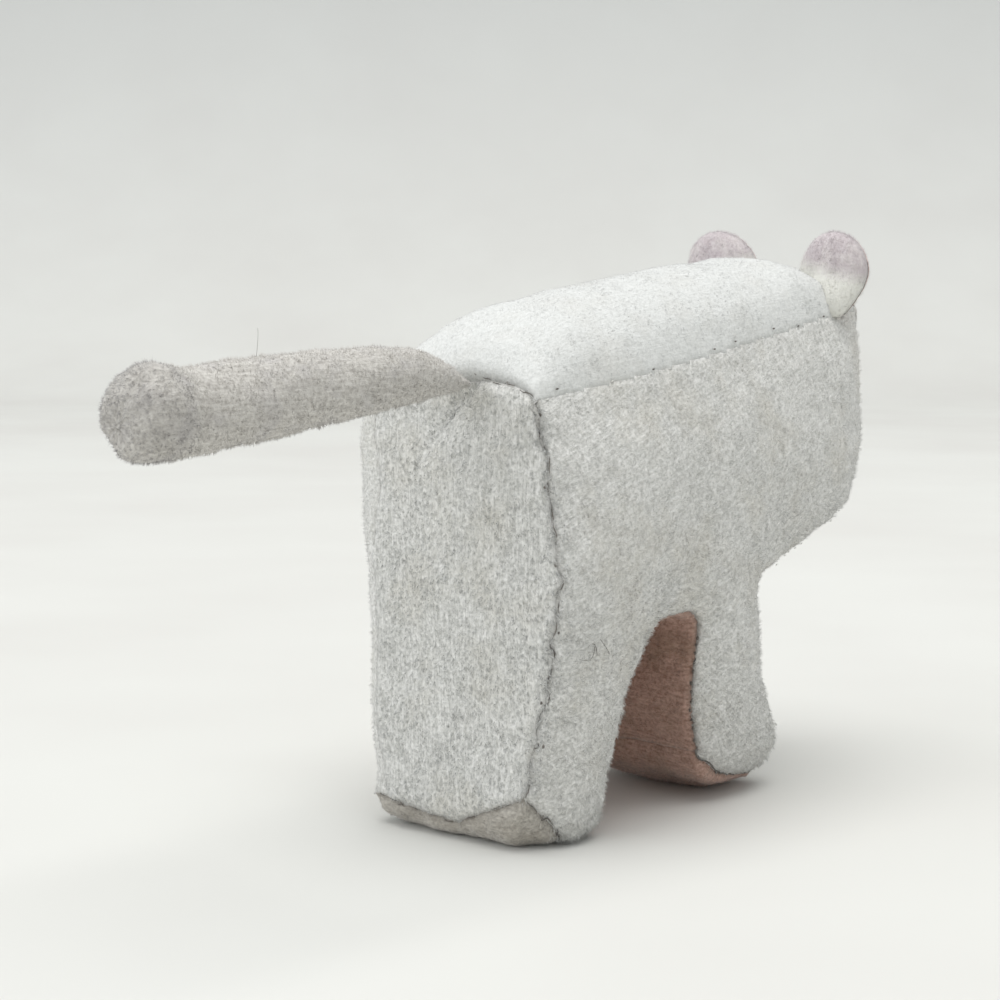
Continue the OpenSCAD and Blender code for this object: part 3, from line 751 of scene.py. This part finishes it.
def sewn(body, faces, seams):
    """The body with lumps, grooves at its seams and puckers, and the painted shade of each point's seam
    groove.
    """
    body = wavered(body, seams)
    names = list(seams)
    lines = [evenly(wavered(shaped(seams[n]), seams), 0.15) for n in names]
    owner = np.repeat(np.arange(len(names)), [len(line) for line in lines])
    index, near = nearest(tree_of(np.vstack(lines)), body)
    owner = owner[index]
    depth = np.array([seam_depth.get(n, 0.3) for n in names])[owner]
    # Painted shade: each seam's groove is darkened in the cloth's colour, fading within about 0.34 mm of the
    # seam.
    groove_shade = np.array([painted_seam_shade.get(n, 0.35) for n in names])[owner]
    ragged = 1 + 0.5 * fractal(body, 1.6, 2, 4.0)
    groove = depth * (ragged * np.exp(-(near / 0.4) ** 2) - 0.3 * np.exp(-((near - 1.1) / 0.6) ** 2))
    pucker = 0.8 * depth * np.exp(-(near / 2.4) ** 2) * fractal(body * (1, 1, 1.8), 1.5, 2, 9.0)
    lumps = 0.3 * fractal(body, 8.0, 3, 1.0) + 0.1 * fractal(body, 1.5, 2, 2.0)
    x, y, z = body.T
    fall = np.clip(41 - z, 0, 5)
    fold = 0.9 * np.exp(-((x - 0.3 - 0.75 * fall) / 1.1) ** 2) * smooth((z - 33.5) / 5)
    fold += 0.3 * np.exp(-((x - 5.5) / 1.3) ** 2) * smooth((z - 20) / 8)
    fold += 0.6 * np.exp(-(x / 1.8) ** 2 - ((z - 40.5) / 1.8) ** 2)
    fold *= smooth((y - rump_y + 2) / 1.5) * smooth((43 - z) / 2)
    normals = normals_of(body, faces)
    body = body + normals * (lumps + pucker - groove - fold)[:, None]
    body[:, 2] = np.maximum(body[:, 2], ground)
    return body, near, groove_shade * np.exp(-(near / 0.34) ** 2), dict(zip(names, lines))


def thick(points, normals, faces, depth):
    """A closed layer of cloth under an open sheet."""
    count = len(points)
    inner = points - normals * depth
    inner[:, 2] = np.maximum(inner[:, 2], 0.05)
    edges = {(a, b) for f in faces for a, b in zip(f, (*f[1:], f[0]))}
    rim = [(b, a, a + count, b + count) for a, b in edges if (b, a) not in edges]
    back = [tuple(i + count for i in reversed(f)) for f in faces]
    return np.vstack([points, inner]), [*faces, *back, *rim]


def panel_piece(name, sheet, material):
    """A sewn panel, with the painted shade of its seam grooves stored on its points."""
    points, normals, faces, shade_marks = sheet
    made = piece_from(name, *thick(points, normals, faces, cloth), material)
    layer = made.data.attributes.new("seam", "FLOAT", "POINT")
    # Painted shade: the seam grooves' darkening is stored on both faces of the cloth.
    layer.data.foreach_set("value", np.concatenate([shade_marks, shade_marks]).astype(np.float32))
    return settle(made, "mouse", [name])


def part_of(body, normals, faces, shade_marks, chosen):
    """The sheet made of the chosen faces, with only its own points."""
    used = np.unique(np.concatenate([faces[i] for i in chosen]))
    place = np.full(len(body), -1)
    place[used] = np.arange(len(used))
    return body[used], normals[used], [tuple(place[list(faces[i])]) for i in chosen], shade_marks[used]


def pile(name, sheet, material, nap, density, length, lie, width=0.07, spread=0.5, swirl=0.6, near=None,
         bare=None, stray=0.04, clump=0.6, tuft=0.6):
    """Short fibres lying along the nap, each a closed spike, scattered over a sheet."""
    points, normals, faces = sheet[:3]
    quads = np.array([(*f, f[-1])[:4] for f in faces])
    corner = points[quads]
    area = np.linalg.norm(np.cross(corner[:, 2] - corner[:, 0], corner[:, 3] - corner[:, 1]), axis=1) / 2
    count = int(area.sum() * density * pile_share)
    pick = rng.choice(len(quads), count, p=area / area.sum())
    a, b = rng.random((2, count))
    share = np.stack([(1 - a) * (1 - b), a * (1 - b), a * b, (1 - a) * b], axis=1)
    root = (corner[pick] * share[:, :, None]).sum(1)
    out = unit((normals[quads[pick]] * share[:, :, None]).sum(1))
    keep = np.ones(count, bool) if bare is None else ~bare(root)
    gap = np.full(count, 9.0) if near is None else (near[quads[pick]] * share).sum(1)
    root, out, gap = root[keep], out[keep], gap[keep]
    count = len(root)

    flow = nap(root)
    flow = unit(flow - (flow * out).sum(1, keepdims=True) * out)
    side = np.cross(out, flow)
    turn = swirl * fractal(root, 3.5, 2, 20.0) + spread * rng.normal(size=count)
    flow = flow * np.cos(turn)[:, None] + side * np.sin(turn)[:, None]
    tilt = np.radians(lie) + 0.25 * fractal(root, 1.5, 1, 30.0) + 0.18 * rng.normal(size=count)
    tilt = np.where(rng.random(count) < stray, tilt * 0.35, tilt)
    long = length * (1 + 0.3 * fractal(root, 2.4, 2, 40.0)) * rng.uniform(0.65, 1.3, count)
    long *= 0.45 + 0.55 * smooth(gap / 0.8)
    tip = root + long[:, None] * (np.cos(tilt)[:, None] * out + np.sin(tilt)[:, None] * flow)
    heads = np.arange(0, count, max(2, int(density * pile_share * tuft ** 2)))
    leader, away = nearest(tree_of(root[heads]), root)
    pull = clump * (1 - smooth(away / (1.4 * tuft)))
    tip += pull[:, None] * (tip[heads][leader] - tip)
    tip[:, 2] = np.maximum(tip[:, 2], 0.03)
    side = np.cross(out, flow)
    spin = rng.uniform(0, 2 * math.pi, count)[:, None] + np.arange(3) * 2 * math.pi / 3
    half = width / 2 * rng.uniform(0.7, 1.2, count)
    ring = (root - 0.12 * out)[:, None] + half[:, None, None] * (
        np.cos(spin)[:, :, None] * flow[:, None] + np.sin(spin)[:, :, None] * side[:, None])
    ring[:, :, 2] = np.maximum(ring[:, :, 2], ground)
    spikes = np.concatenate([ring, tip[:, None]], axis=1).reshape(-1, 3)
    faces = np.array([(0, 1, 3), (1, 2, 3), (2, 0, 3), (2, 1, 0)])
    faces = (np.arange(count)[:, None, None] * 4 + faces).reshape(-1, 3)
    return piece_from(name, spikes, faces.tolist(), material)


def side_flow(p):
    """Nap of the sides: forward and up, steeper towards the head, and down on the legs."""
    rising = through(rump_y - p[:, 1], (0, 18), (20, 24), (38, 32), (50, 42))
    angle = np.radians(rising + 12 * smooth((p[:, 2] - 38) / 8))
    angle -= smooth((17 - p[:, 2]) / 8) * np.radians(95)
    return np.stack([np.zeros(len(p)), -np.cos(angle), np.sin(angle)], axis=1)


def rump_flow(p):
    """Nap of the rump: down, and slanting outwards on its right."""
    slant = 0.75 * smooth((-p[:, 0] - 1) / 9) * smooth((p[:, 2] - 12) / 12)
    return np.stack([-slant - 0.05, np.zeros(len(p)), -np.ones(len(p))], axis=1)


def steady(*way):
    """Nap that lies one way all over."""
    return lambda p: np.tile(np.array(way, float), (len(p), 1))


panel_looks = {     # cloth, slot, pile, nap, density, length, lie
    "right_side_panel": ("side", "white_velvet", "side", side_flow, 27, 0.48, 52),
    "left_side_panel": ("side", "white_velvet", "side", side_flow, 24, 0.38, 54),
    "rump_panel": ("rump", "white_velvet", "rump", rump_flow, 34, 0.46, 56),
    "back_panel": ("back", "white_velvet", "back", steady(0, -1, 0.2), 26, 0.24, 62),
    "face_panel": ("side", "white_velvet", "side", steady(0, -0.2, 1), 22, 0.4, 56),
    "chest_panel": ("side", "white_velvet", "side", steady(0, -0.3, -1), 20, 0.4, 56),
    "arch_gusset": ("gusset", "pink_velvet", "gusset", steady(1, 0.1, 0), 18, 0.32, 56),
    "front_sole": ("gusset", "pink_velvet", "gusset", steady(1, -0.2, 0), 14, 0.32, 60),
    "rear_sole": ("rear_sole", "grey_velvet", "rear_sole", steady(1, 0, 0.1), 24, 0.34, 58),
}
eyelet_hole = 2.7       # radius of the hole that the cloth has for the winding key
eyelet_rim = 3.9        # radius round the key that is left bare of pile


def by_key(points, radius):
    """Which points of the left flank are near the winding key's axis."""
    away = np.hypot(points[:, 1] - key_axis[0], points[:, 2] - key_axis[1])
    return (points[:, 0] > 6) & (away < radius)


def build_body():
    """The sewn panels with their pile. Returns the surface and the seams on it."""
    body, faces, panels, seams = cut_body()
    body, near, shade_marks, lines = sewn(body, faces, seams)
    normals = normals_of(body, faces)
    middle = np.array([body[list(f)].mean(0) for f in faces])
    open_here = by_key(middle, eyelet_hole)
    for name, (look, slot, fibres, nap, density, length, lie) in panel_looks.items():
        chosen = np.flatnonzero((panels == name) & ~open_here)
        sheet = part_of(body, normals, faces, shade_marks, chosen)
        panel_piece(name, sheet, cloths[look])
        used = np.unique(np.concatenate([faces[i] for i in chosen]))
        bare = (lambda p: by_key(p, eyelet_rim)) if name == "left_side_panel" else None
        coat = pile(f"{name}_pile", sheet, piles[fibres], nap, density, length, lie, near=near[used],
                    bare=bare)
        settle(coat, "mouse")
    build_tufts(body, normals, faces, shade_marks, middle, lines["right_rump"])
    return BVHTree.FromPolygons([tuple(p) for p in body], faces), lines


def build_tufts(body, normals, faces, shade_marks, middle, rump_seam):
    """Longer fibres that hang over the rear sole and stand up at the re-sewn rump seam."""
    forward = rump_y - middle[:, 1]
    foot = (middle[:, 0] < -3) & (middle[:, 2] < 2.6) & (forward > 3.2) & (forward < 10.5)
    _, from_seam = nearest(tree_of(rump_seam), middle)
    for name, chosen, look, nap, density, length, lie, more in (
            ("foot_fluff", foot, "side", steady(-0.2, -0.3, -1), 14, 1.0, 62, {"spread": 0.8}),
            ("seam_tufts", from_seam < 0.9, "rump", rump_flow, 12, 0.95, 58,
             {"width": 0.09, "spread": 1.3, "swirl": 1.4})):
        sheet = part_of(body, normals, faces, shade_marks, np.flatnonzero(chosen))
        settle(pile(name, sheet, piles[look], nap, density, length, lie, **more), "mouse")


def laid(surface, line, above):
    """A line moved onto the surface, above mm over it."""
    found = [surface.find_nearest(Vector(p)) for p in line]
    placed = np.array([f[0] for f in found]) + np.array([f[1] for f in found]) * above
    placed[:, 2] = np.maximum(placed[:, 2], 0.1)
    return placed


def stitches(surface, line, long, gap, radius, above, wobble=0.06):
    """Short thread stitches in a row along a seam."""
    step = 0.18
    line = laid(surface, evenly(line, step), above)
    shapes, at = [], int(rng.integers(2, 5))
    while at < len(line) - 4:
        count = max(3, int(long / step * rng.uniform(0.7, 1.3)))
        part = line[at:at + count] + rng.normal(size=3) * wobble
        if len(part) > 2:
            shapes.append(tube(part, radius * np.sin(np.linspace(0.35, math.pi - 0.35, len(part)))))
        at += count + max(1, int(gap / step * rng.uniform(0.6, 1.5)))
    return joined(shapes)


def thread_line(surface, line, radius, above, wobble=0.07):
    """A thread that runs unbroken along a seam."""
    line = laid(surface, evenly(line, 0.3), above)
    line = line + wobble * np.stack([fractal(line, 0.9, 2, k) for k in (1.0, 2.0, 3.0)], axis=1)
    return tube(line, radius * (1 + 0.25 * fractal(line, 0.7, 1, 5.0)))


def build_seams(surface, lines):
    """Dark thread where the seams were sewn by hand, and the small stitches of the others."""
    rump_top, arch = lines["rump_top"], lines["right_arch"]
    dark = [stitches(surface, lines["right_rump"], 1.6, 0.7, 0.055, 0.1, 0.12),
            stitches(surface, lines["right_rump"], 0.45, 5.0, 0.13, 0.05, 0.3),
            stitches(surface, rump_top[:int(len(rump_top) * 0.6)], 1.6, 0.4, 0.045, 0.05, 0.06),
            stitches(surface, lines["rump_sole"], 1.5, 0.5, 0.05, 0.0, 0.08),
            thread_line(surface, lines["right_front_hem"], 0.08, 0.05),
            stitches(surface, lines["right_rear_hem"], 1.4, 0.7, 0.06, 0.0),
            stitches(surface, arch[arch[:, 1] < rump_y - 21.5], 0.5, 0.55, 0.14, 0.06, 0.03),
            stitches(surface, lines["right_top"] + (0, 0, 0.7), 0.3, 4.6, 0.1, 0.1, 0.25)]
    settle(piece_from("seam_threads", *joined(dark), threads["dark"]), "mouse")
    gaps = {"right_top": 2.0, "left_top": 1.2}
    gaps |= dict.fromkeys(("left_arch", "right_front", "left_front", "right_face", "left_face", "face_top",
                           "chest_face", "left_rear_hem", "left_front_hem"), 1.0)
    pale = [stitches(surface, lines[name], 0.45, gap, 0.07, 0.12, 0.1) for name, gap in gaps.items()]
    settle(piece_from("white_stitches", *joined(pale), threads["white"]), "mouse")


# ---------------------------------------------------------------- ears, eyes and nose

def ear_width(a, across):
    """Across the ear's oval at an angle: round above, square where it is sewn to the head."""
    c, s = math.cos(a), math.sin(a)
    return across * (c if s > 0 else math.copysign(abs(c) ** 0.5, c) * (1 + 0.06 * s))


def half_dome(centre, across, up, deep, rings=8, sides=40, power=0.6):
    """One face of a stuffed ear: a dome over an upright oval, closed by its flat side."""
    x, y, z = centre
    points, faces = [], []
    turns = np.arange(sides) * 2 * math.pi / sides
    for k in range(rings):
        share = math.sin(math.pi / 2 * k / rings)
        size = math.sqrt(1 - share ** 2)
        points += [(x + size * ear_width(a, across), y + deep * share ** power, z + up * size * math.sin(a))
                   for a in turns]
    points.append((x, y + deep, z))
    for k in range(rings - 1):
        for i in range(sides):
            j = (i + 1) % sides
            faces.append((k * sides + i, k * sides + j, (k + 1) * sides + j, (k + 1) * sides + i))
    last = (rings - 1) * sides
    faces += [(last + i, last + (i + 1) % sides, len(points) - 1) for i in range(sides)]
    faces.append(tuple(reversed(range(sides))))
    if deep > 0:
        faces = [tuple(reversed(f)) for f in faces]
    return np.array(points), faces


eye_spread, eye_z, eye_radius = 4.6, 41.0, 1.35
nose_z, nose_radius = 34.5, 1.7
# Centre and half width of each ear, and the points along its outer edge that the thread shows at
ears = {RIGHT: ((-8.0, rump_y - 49.7, 51.2), 3.8, range(18, 28)),
        LEFT: ((6.7, rump_y - 51.0, 51.6), 4.3, (*range(34, 40), 0, 1, 2))}
ear_half_height = 4.5


def ear_face(way, deep):
    """One face of an ear, bent round the head, with its base leaning back over the seam."""
    centre, across, _ = ears[way]
    points, faces = half_dome(centre, across, ear_half_height, deep)
    bend = 0.05 * (points[:, 0] - centre[0]) ** 2
    lower = np.clip(51.4 - points[:, 2], 0, 5)
    points[:, 1] += 0.6 - bend + 0.42 * lower + 0.2 * fractal(points, 1.5, 2, 3.0)
    points[:, 0] += way * 0.06 * (points[:, 2] - 52)
    return points, faces


def build_ears():
    """Both ears: a stuffed outer face, its lining, their pile and the thread round the edge."""
    for way, side in ((RIGHT, "right"), (LEFT, "left")):
        for name, deep, look, slot in ((f"{side}_ear", 2.4, "ear", "ear_velvet"),
                                       (f"{side}_ear_lining", -0.9, "ear_lining", "ear_lining")):
            points, faces = ear_face(way, deep)
            settle(piece_from(name, points, faces, cloths[look]), "mouse", [name])
            sheet = (points, normals_of(points, faces[:-1]), [f for f in faces[:-1] if len(f) == 4])
            settle(pile(f"{name}_pile", sheet, piles["ear"], steady(0, 0.1, 1), 36, 0.38, 58,
                        clump=0.3, spread=0.8), "mouse")
            if look == "ear":
                edge = evenly(points[list(ears[way][2])], 0.3)
                settle(piece_from(f"{side}_ear_edge", *tube(edge, 0.04), threads["dark"]), "mouse")


def ball(centre, radius, flat):
    """A round piece with a radius, flattened by shares along the three axes."""
    shape = bmesh.new()
    bmesh.ops.create_uvsphere(shape, u_segments=24, v_segments=14, radius=radius)
    shape.verts.index_update()
    points = np.array([v.co for v in shape.verts]) * flat + np.array(centre)
    faces = [tuple(v.index for v in face.verts) for face in shape.faces]
    shape.free()
    return points, faces


def build_face(surface):
    """Two bead eyes and a felt nose, set in the face."""
    def on_face(x, z):
        return surface.ray_cast(Vector((x, rump_y - 80, z)), Vector((0, 1, 0)))[0]

    for way, side in ((RIGHT, "right"), (LEFT, "left")):
        eye = ball(on_face(way * eye_spread, eye_z), eye_radius, (1, 0.8, 1))
        settle(piece_from(f"{side}_eye", *eye, bead), "mouse", [f"{side}_eye"])
    place = on_face(0, nose_z)
    points, faces = ball(place, nose_radius, (1.15, 0.8, 0.95))
    points += 0.08 * fractal(points, 0.7, 2, 1.0)[:, None] * (points - np.array(place))
    settle(piece_from("nose", points, faces, cloths["nose"]), "mouse", ["nose"])


# ---------------------------------------------------------------- the tail

tail_profile = [    # distance from the rump, top height, lowest height
    (-1.2, 41.6, 41.0), (0, 42.0, 40.8), (1.5, 43.1, 40.5), (5.8, 44.5, 40.0), (10.8, 44.8, 39.35),
    (20, 44.4, 38.15), (28.7, 43.9, 37.1), (32.2, 43.4, 36.8), (34, 43.9, 36.6), (35, 44.2, 36.7),
]
tail_sides = 56
tail_start = rump_y + 0.75      # where the profile's distances are measured from
tail_end_depth = 3.4            # length of the gathered end past the profile
darker_from = rump_y + 34.0     # the tail's handled end is darker
# The short slit left in the gathered end
tail_slit = np.array([(3.2, rump_y + 37.4, 39.2), (2.3, rump_y + 38.0, 38.4), (1.3, rump_y + 37.9, 37.6)])


def tail_rows():
    """Rings along the tail: distance, middle height, radius and how gathered the cloth is."""
    along = np.arange(tail_profile[0][0], tail_profile[-1][0] + 0.01, cell)
    knots = np.array(tail_profile)
    top, low = (np.interp(along, knots[:, 0], knots[:, k]) for k in (1, 2))
    for _ in range(4):
        top[1:-1], low[1:-1] = ((v[:-2] + 2 * v[1:-1] + v[2:]) / 4 for v in (top, low))
    rows = [(a, (h + l) / 2, (h - l) / 2, 0.0) for a, h, l in zip(along, top, low)]
    edge, middle, radius, _ = rows[-1]
    for a in np.arange(1, 15) / 14:     # the blunt end turns in and is gathered to a dimple
        turn = a * math.pi / 2
        dimple = 0.3 * float(smooth((a - 0.7) / 0.3))
        rows.append((edge + tail_end_depth * math.sin(turn) - dimple, middle - a,
                     radius * max(math.cos(turn), 0.02) ** 0.7, a))
    return rows


def tail_surface():
    """The felt tube from its pinched root to its gathered end: points, faces and side faces."""
    rows, sides = tail_rows(), tail_sides
    turns = np.arange(sides) * 2 * math.pi / sides
    rings = []
    for a, middle, radius, gathered in rows:
        crease = 1 - 0.06 * gathered * (1 - np.abs(np.cos(turns * 3.5 + 0.6)))
        width = radius * (0.82 + 0.2 * float(smooth((a + 1) / 8))) * crease
        rings.append(np.column_stack([width * np.cos(turns),
                                      tail_start + a - 0.15 * gathered * np.abs(np.cos(turns * 4.5)),
                                      middle + radius * crease * np.sin(turns)]))
    points = np.vstack(rings)
    swell = 0.2 * fractal(points, 5.0, 3, 6.0) + 0.12 * fractal(points, 1.3, 2, 7.0)
    swell *= smooth((points[:, 1] - tail_start) / 5)
    middle = np.repeat([(0, tail_start + r[0], r[1]) for r in rows], sides, axis=0)
    points += unit(points - middle) * swell[:, None]
    pairs = [(i, (i + 1) % sides) for i in range(sides)]
    starts = range(0, len(rows) * sides, sides)
    quads = [(b + i, b + j, a + j, a + i) for a, b in zip(starts, starts[1:]) for i, j in pairs]
    last = (len(rows) - 1) * sides
    ends = [tuple(range(sides)), tuple(last + i for i in reversed(range(sides)))]
    if normals_of(points, quads + ends)[sides * 30] @ (points[sides * 30] - middle[sides * 30]) < 0:
        quads, ends = ([tuple(reversed(f)) for f in group] for group in (quads, ends))
    return points, [*quads, *ends], quads


def from_slit(points, step=0.15):
    """How far points on the tail's end are from its slit, seen along the tail."""
    gaps = (points[:, None] - evenly(tail_slit, step)[None])[:, :, (0, 2)]
    return np.linalg.norm(gaps, axis=2).min(1) + 9 * (points[:, 1] < rump_y + 35.5)


def build_tail():
    """The felt tail, its fibres in two tones and its loose hairs."""
    points, faces, quads = tail_surface()
    near = from_slit(points)
    points -= normals_of(points, faces) * (0.7 * np.exp(-(near / 0.45) ** 2))[:, None]
    cover = piece_from("tail_cover", points, faces, cloths["tail"])
    darkening = 0.4 * smooth((points[:, 1] - rump_y - 32) / 5) * (0.6 + 0.6 * fractal(points, 2.5, 2, 2.0))
    # Real wear darkens the tail's end, and painted shade darkens the slit in the gathered end.
    wear_and_slit_shade = np.clip(darkening + 1.2 * np.exp(-(near / 0.5) ** 2), 0, 1)
    cover.data.attributes.new("seam", "FLOAT", "POINT").data.foreach_set("value", wear_and_slit_shade.astype(np.float32))
    settle(cover, None, ["tail_cover"])

    def darker(p):
        return p[:, 1] + 0.8 * fractal(p, 3.0, 2, 5.0) > darker_from

    pieces = [cover]
    for name, look, skip in (("tail_fuzz", "tail", darker),
                             ("tail_end_fuzz", "tail_end", lambda p: ~darker(p))):
        fuzz = pile(name, (points, normals_of(points, faces), quads), piles[look], steady(0, 1, -0.05),
                    34, 0.36, 52, width=0.065, spread=1.0, swirl=0.9, stray=0.05, clump=0.5, tuft=0.5,
                    bare=lambda p: skip(p) | (from_slit(p, 0.3) < 0.4))
        pieces.append(settle(fuzz, None))
    for piece in pieces:
        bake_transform(piece)
    surface = BVHTree.FromPolygons(points.tolist(), faces)
    loose = [hair(surface, (0, rump_y + 25.2, 46), (0.8, 0.3, 2.6, 2.0), 0.02, 1.5),
             hair(surface, (3, rump_y + 16.5, 36), (1.3, 0.5, 2.0, 3.0), 0.02, 1.5)]
    settle(piece_from("tail_hairs", *joined(loose), threads["dark"]), "tail")


# ---------------------------------------------------------------- stuffing, hairs and the CAD parts

def room_inside(points):
    """Stuffing points held inside the sewn cloth, with a gap under it."""
    gap = 1.0
    s, z = rump_y - points[:, 1], np.clip(points[:, 2], 0, None)
    below = np.minimum(z, seam_height(s))
    _, _, depth = on_outline(s, below)
    room = half_width(s, below, points[:, 0]) + 0.4 * pillow(depth) - gap
    x = np.clip(points[:, 0], -room, room)
    oval = np.clip(1 - (x / (room + gap)) ** 2, 0, 1) ** (shoulder(s) / 2)
    dome = seam_height(s) + rise(s) * oval - gap
    return np.column_stack([x + leaning(s, z), points[:, 1], np.minimum(z, dome)])


def build_stuffing():
    """Soft pads that fill the cloth, made over the CAD's own filling."""
    for name, body, fill in (("rump_stuffing", "mouse", 0.9), ("rear_leg_stuffing", "mouse", 0.9),
                             ("front_leg_stuffing", "mouse", 0.9), ("head_stuffing", "mouse", 0.9),
                             ("back_stuffing", "mouse", 0.85), ("tail_stuffing", "tail", 0.9)):
        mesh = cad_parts[name].data
        points = np.array([v.co for v in mesh.vertices]) / MM
        points, faces = remeshed(points, [tuple(p.vertices) for p in mesh.polygons], 0.6)
        points = softened(points, faces, 10)
        if body == "mouse":
            points = softened(room_inside(points), faces, 6)
        points += normals_of(points, faces) * (0.12 * fractal(points, 1.6, 3, 8.0) - 0.15)[:, None]
        settle(piece_from(name, points, faces, stuffing), body, [name])


def hair(surface, place, curl, radius=0.028, arch=math.pi):
    """One loose hair from the surface. Its curl is its length, sway and height, and the sway's turn."""
    length, sway, height, turn = curl
    base, out = (np.array(v) for v in surface.find_nearest(Vector(place))[:2])
    way = unit(np.cross(out, (0.2, 0.4, 1.0)))
    other = np.cross(out, way)
    line = [base + out * (0.1 + 0.9 * math.sin(arch * t) * height) + way * length * t
            + other * sway * math.sin(turn * t) for t in np.linspace(0, 1, 14)]
    return tube(line, radius * np.linspace(1, 0.5, len(line)), 4)


def build_hairs(surface):
    """Three dark hairs caught on the right rear leg, and two at the left flank's edge."""
    hairs = [hair(surface, (-12, rump_y - 3.9, 18.6), (1.9, 0.6, 0.5, 2.6)),
             hair(surface, (-12, rump_y - 4.6, 19.2), (-0.6, 1.7, 0.5, 1.9)),
             hair(surface, (-12, rump_y - 4.3, 17.8), (0.8, -1.6, 0.6, 2.3)),
             hair(surface, (13.5, rump_y - 2.0, 27.3), (0.9, 0.7, 1.5, 2.0), 0.02, 1.7),
             hair(surface, (13.5, rump_y - 2.2, 27.9), (1.4, -0.4, 1.1, 3.0), 0.02, 1.9)]
    settle(piece_from("dark_hairs", *joined(hairs), threads["hair"]), "mouse")


def paint_cad():
    """Worn metal for the CAD parts that still show."""
    looks = {n: "steel" for n in ("tail_wire", "winding_arbor", "second_arbor", "third_arbor", "weight_arbor",
                                  "click", "frame_pillars")}
    looks |= {n: "brass" for n in ("ratchet_wheel", "left_motor_plate", "right_motor_plate", "great_wheel",
                                   "second_wheel", "third_wheel", "eccentric_weight", "key_eyelet")}
    looks |= {"mainspring": "spring_steel", "winding_key": "nickel"}
    for name, look in looks.items():
        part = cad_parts[name]
        part.data.materials.clear()
        part.data.materials.append(metals[look])
        part.data.update()


# ---------------------------------------------------------------- stage, light and camera

eye_place = Vector((-114.5, 137.1, 48.5)) * MM
eye_turn, eye_drop = math.radians(39.9), math.radians(5.7)
room_size = 1.6             # metres from the middle to the floor's sides, and up the wall
wall_start, wall_bend = 0.75, 0.35


def build_floor(view):
    """A pale floor that curves up into a wall behind the mouse, with painted shade darkening the wall as it
    rises.
    """
    away = Vector((view.x, view.y, 0)).normalized()
    across = Vector((away.y, -away.x, 0))
    curve = [(wall_start + wall_bend * math.sin(a), wall_bend - wall_bend * math.cos(a))
             for a in np.linspace(0.1, math.pi / 2, 14)]
    profile = [(-0.7, 0.0), (-0.1, 0.0), (wall_start, 0.0), *curve, (wall_start + wall_bend, room_size)]
    points = [away * d + across * w + Vector((0, 0, h)) for d, h in profile for w in (-room_size, room_size)]
    faces = [(2 * k, 2 * k + 1, 2 * k + 3, 2 * k + 2) for k in range(len(profile) - 1)]
    made, shader = material("floor", Roughness=0.7, Specular_IOR_Level=0.2)
    tree = made.node_tree
    plain = mix(tree, ranged(tree, grain(tree, 90.0), 0.35, 0.7), tone(221, 221, 217), tone(216, 215, 211))
    # Painted shade: the colour darkens towards a grey as the wall rises.
    height = node(tree, "ShaderNodeSeparateXYZ", {0: place_of(tree)}).outputs["Z"]
    tree.links.new(mix(tree, ranged(tree, height, 0.02, 0.34), plain, tone(190, 192, 191)),
                   shader.inputs["Base Color"])
    piece_from("floor", np.array(points) / MM, faces, made)


def build_light():
    """A soft overhead light, a fill from behind the mouse and a pale surround."""
    world = bpy.data.worlds.new("studio")
    bpy.context.scene.world = world
    world.use_nodes = True
    surround = world.node_tree.nodes["Background"].inputs
    surround["Color"].default_value = (0.95, 0.98, 1.0, 1)
    surround["Strength"].default_value = 0.63
    for name, place, size, power, colour in (("overhead", (-0.1, 0.0, 1.5), 1.3, 17.3, (1.0, 0.985, 0.96)),
                                             ("fill", (0.3, 1.05, 0.45), 0.7, 3.4, (0.95, 0.97, 1.0))):
        lamp = bpy.data.lights.new(name, "AREA")
        lamp.size, lamp.energy, lamp.color = size, power, colour
        light = bpy.data.objects.new(name, lamp)
        bpy.context.collection.objects.link(light)
        light.location = place
        light.rotation_euler = (Vector((0, -0.02, 0.03)) - light.location).to_track_quat("-Z", "Y").to_euler()


def build_camera(view):
    """The camera, behind the mouse on its right."""
    lens = bpy.data.cameras.new("camera")
    lens.lens, lens.sensor_width, lens.clip_start = 71.5, 36, 0.01
    camera = bpy.data.objects.new("camera", lens)
    bpy.context.collection.objects.link(camera)
    camera.location = eye_place
    camera.rotation_euler = view.to_track_quat("-Z", "Y").to_euler()
    bpy.context.scene.camera = camera
    bpy.context.scene.view_settings.view_transform = "Standard"


def build_stage():
    """Floor, light and camera."""
    view = Vector((math.sin(eye_turn) * math.cos(eye_drop), -math.cos(eye_turn) * math.cos(eye_drop),
                   -math.sin(eye_drop)))
    build_floor(view)
    build_light()
    build_camera(view)


surface, seam_curves = build_body()
build_seams(surface, seam_curves)
build_ears()
build_face(surface)
build_tail()
build_stuffing()
build_hairs(surface)
paint_cad()
build_stage()

bpy.context.view_layer.update()
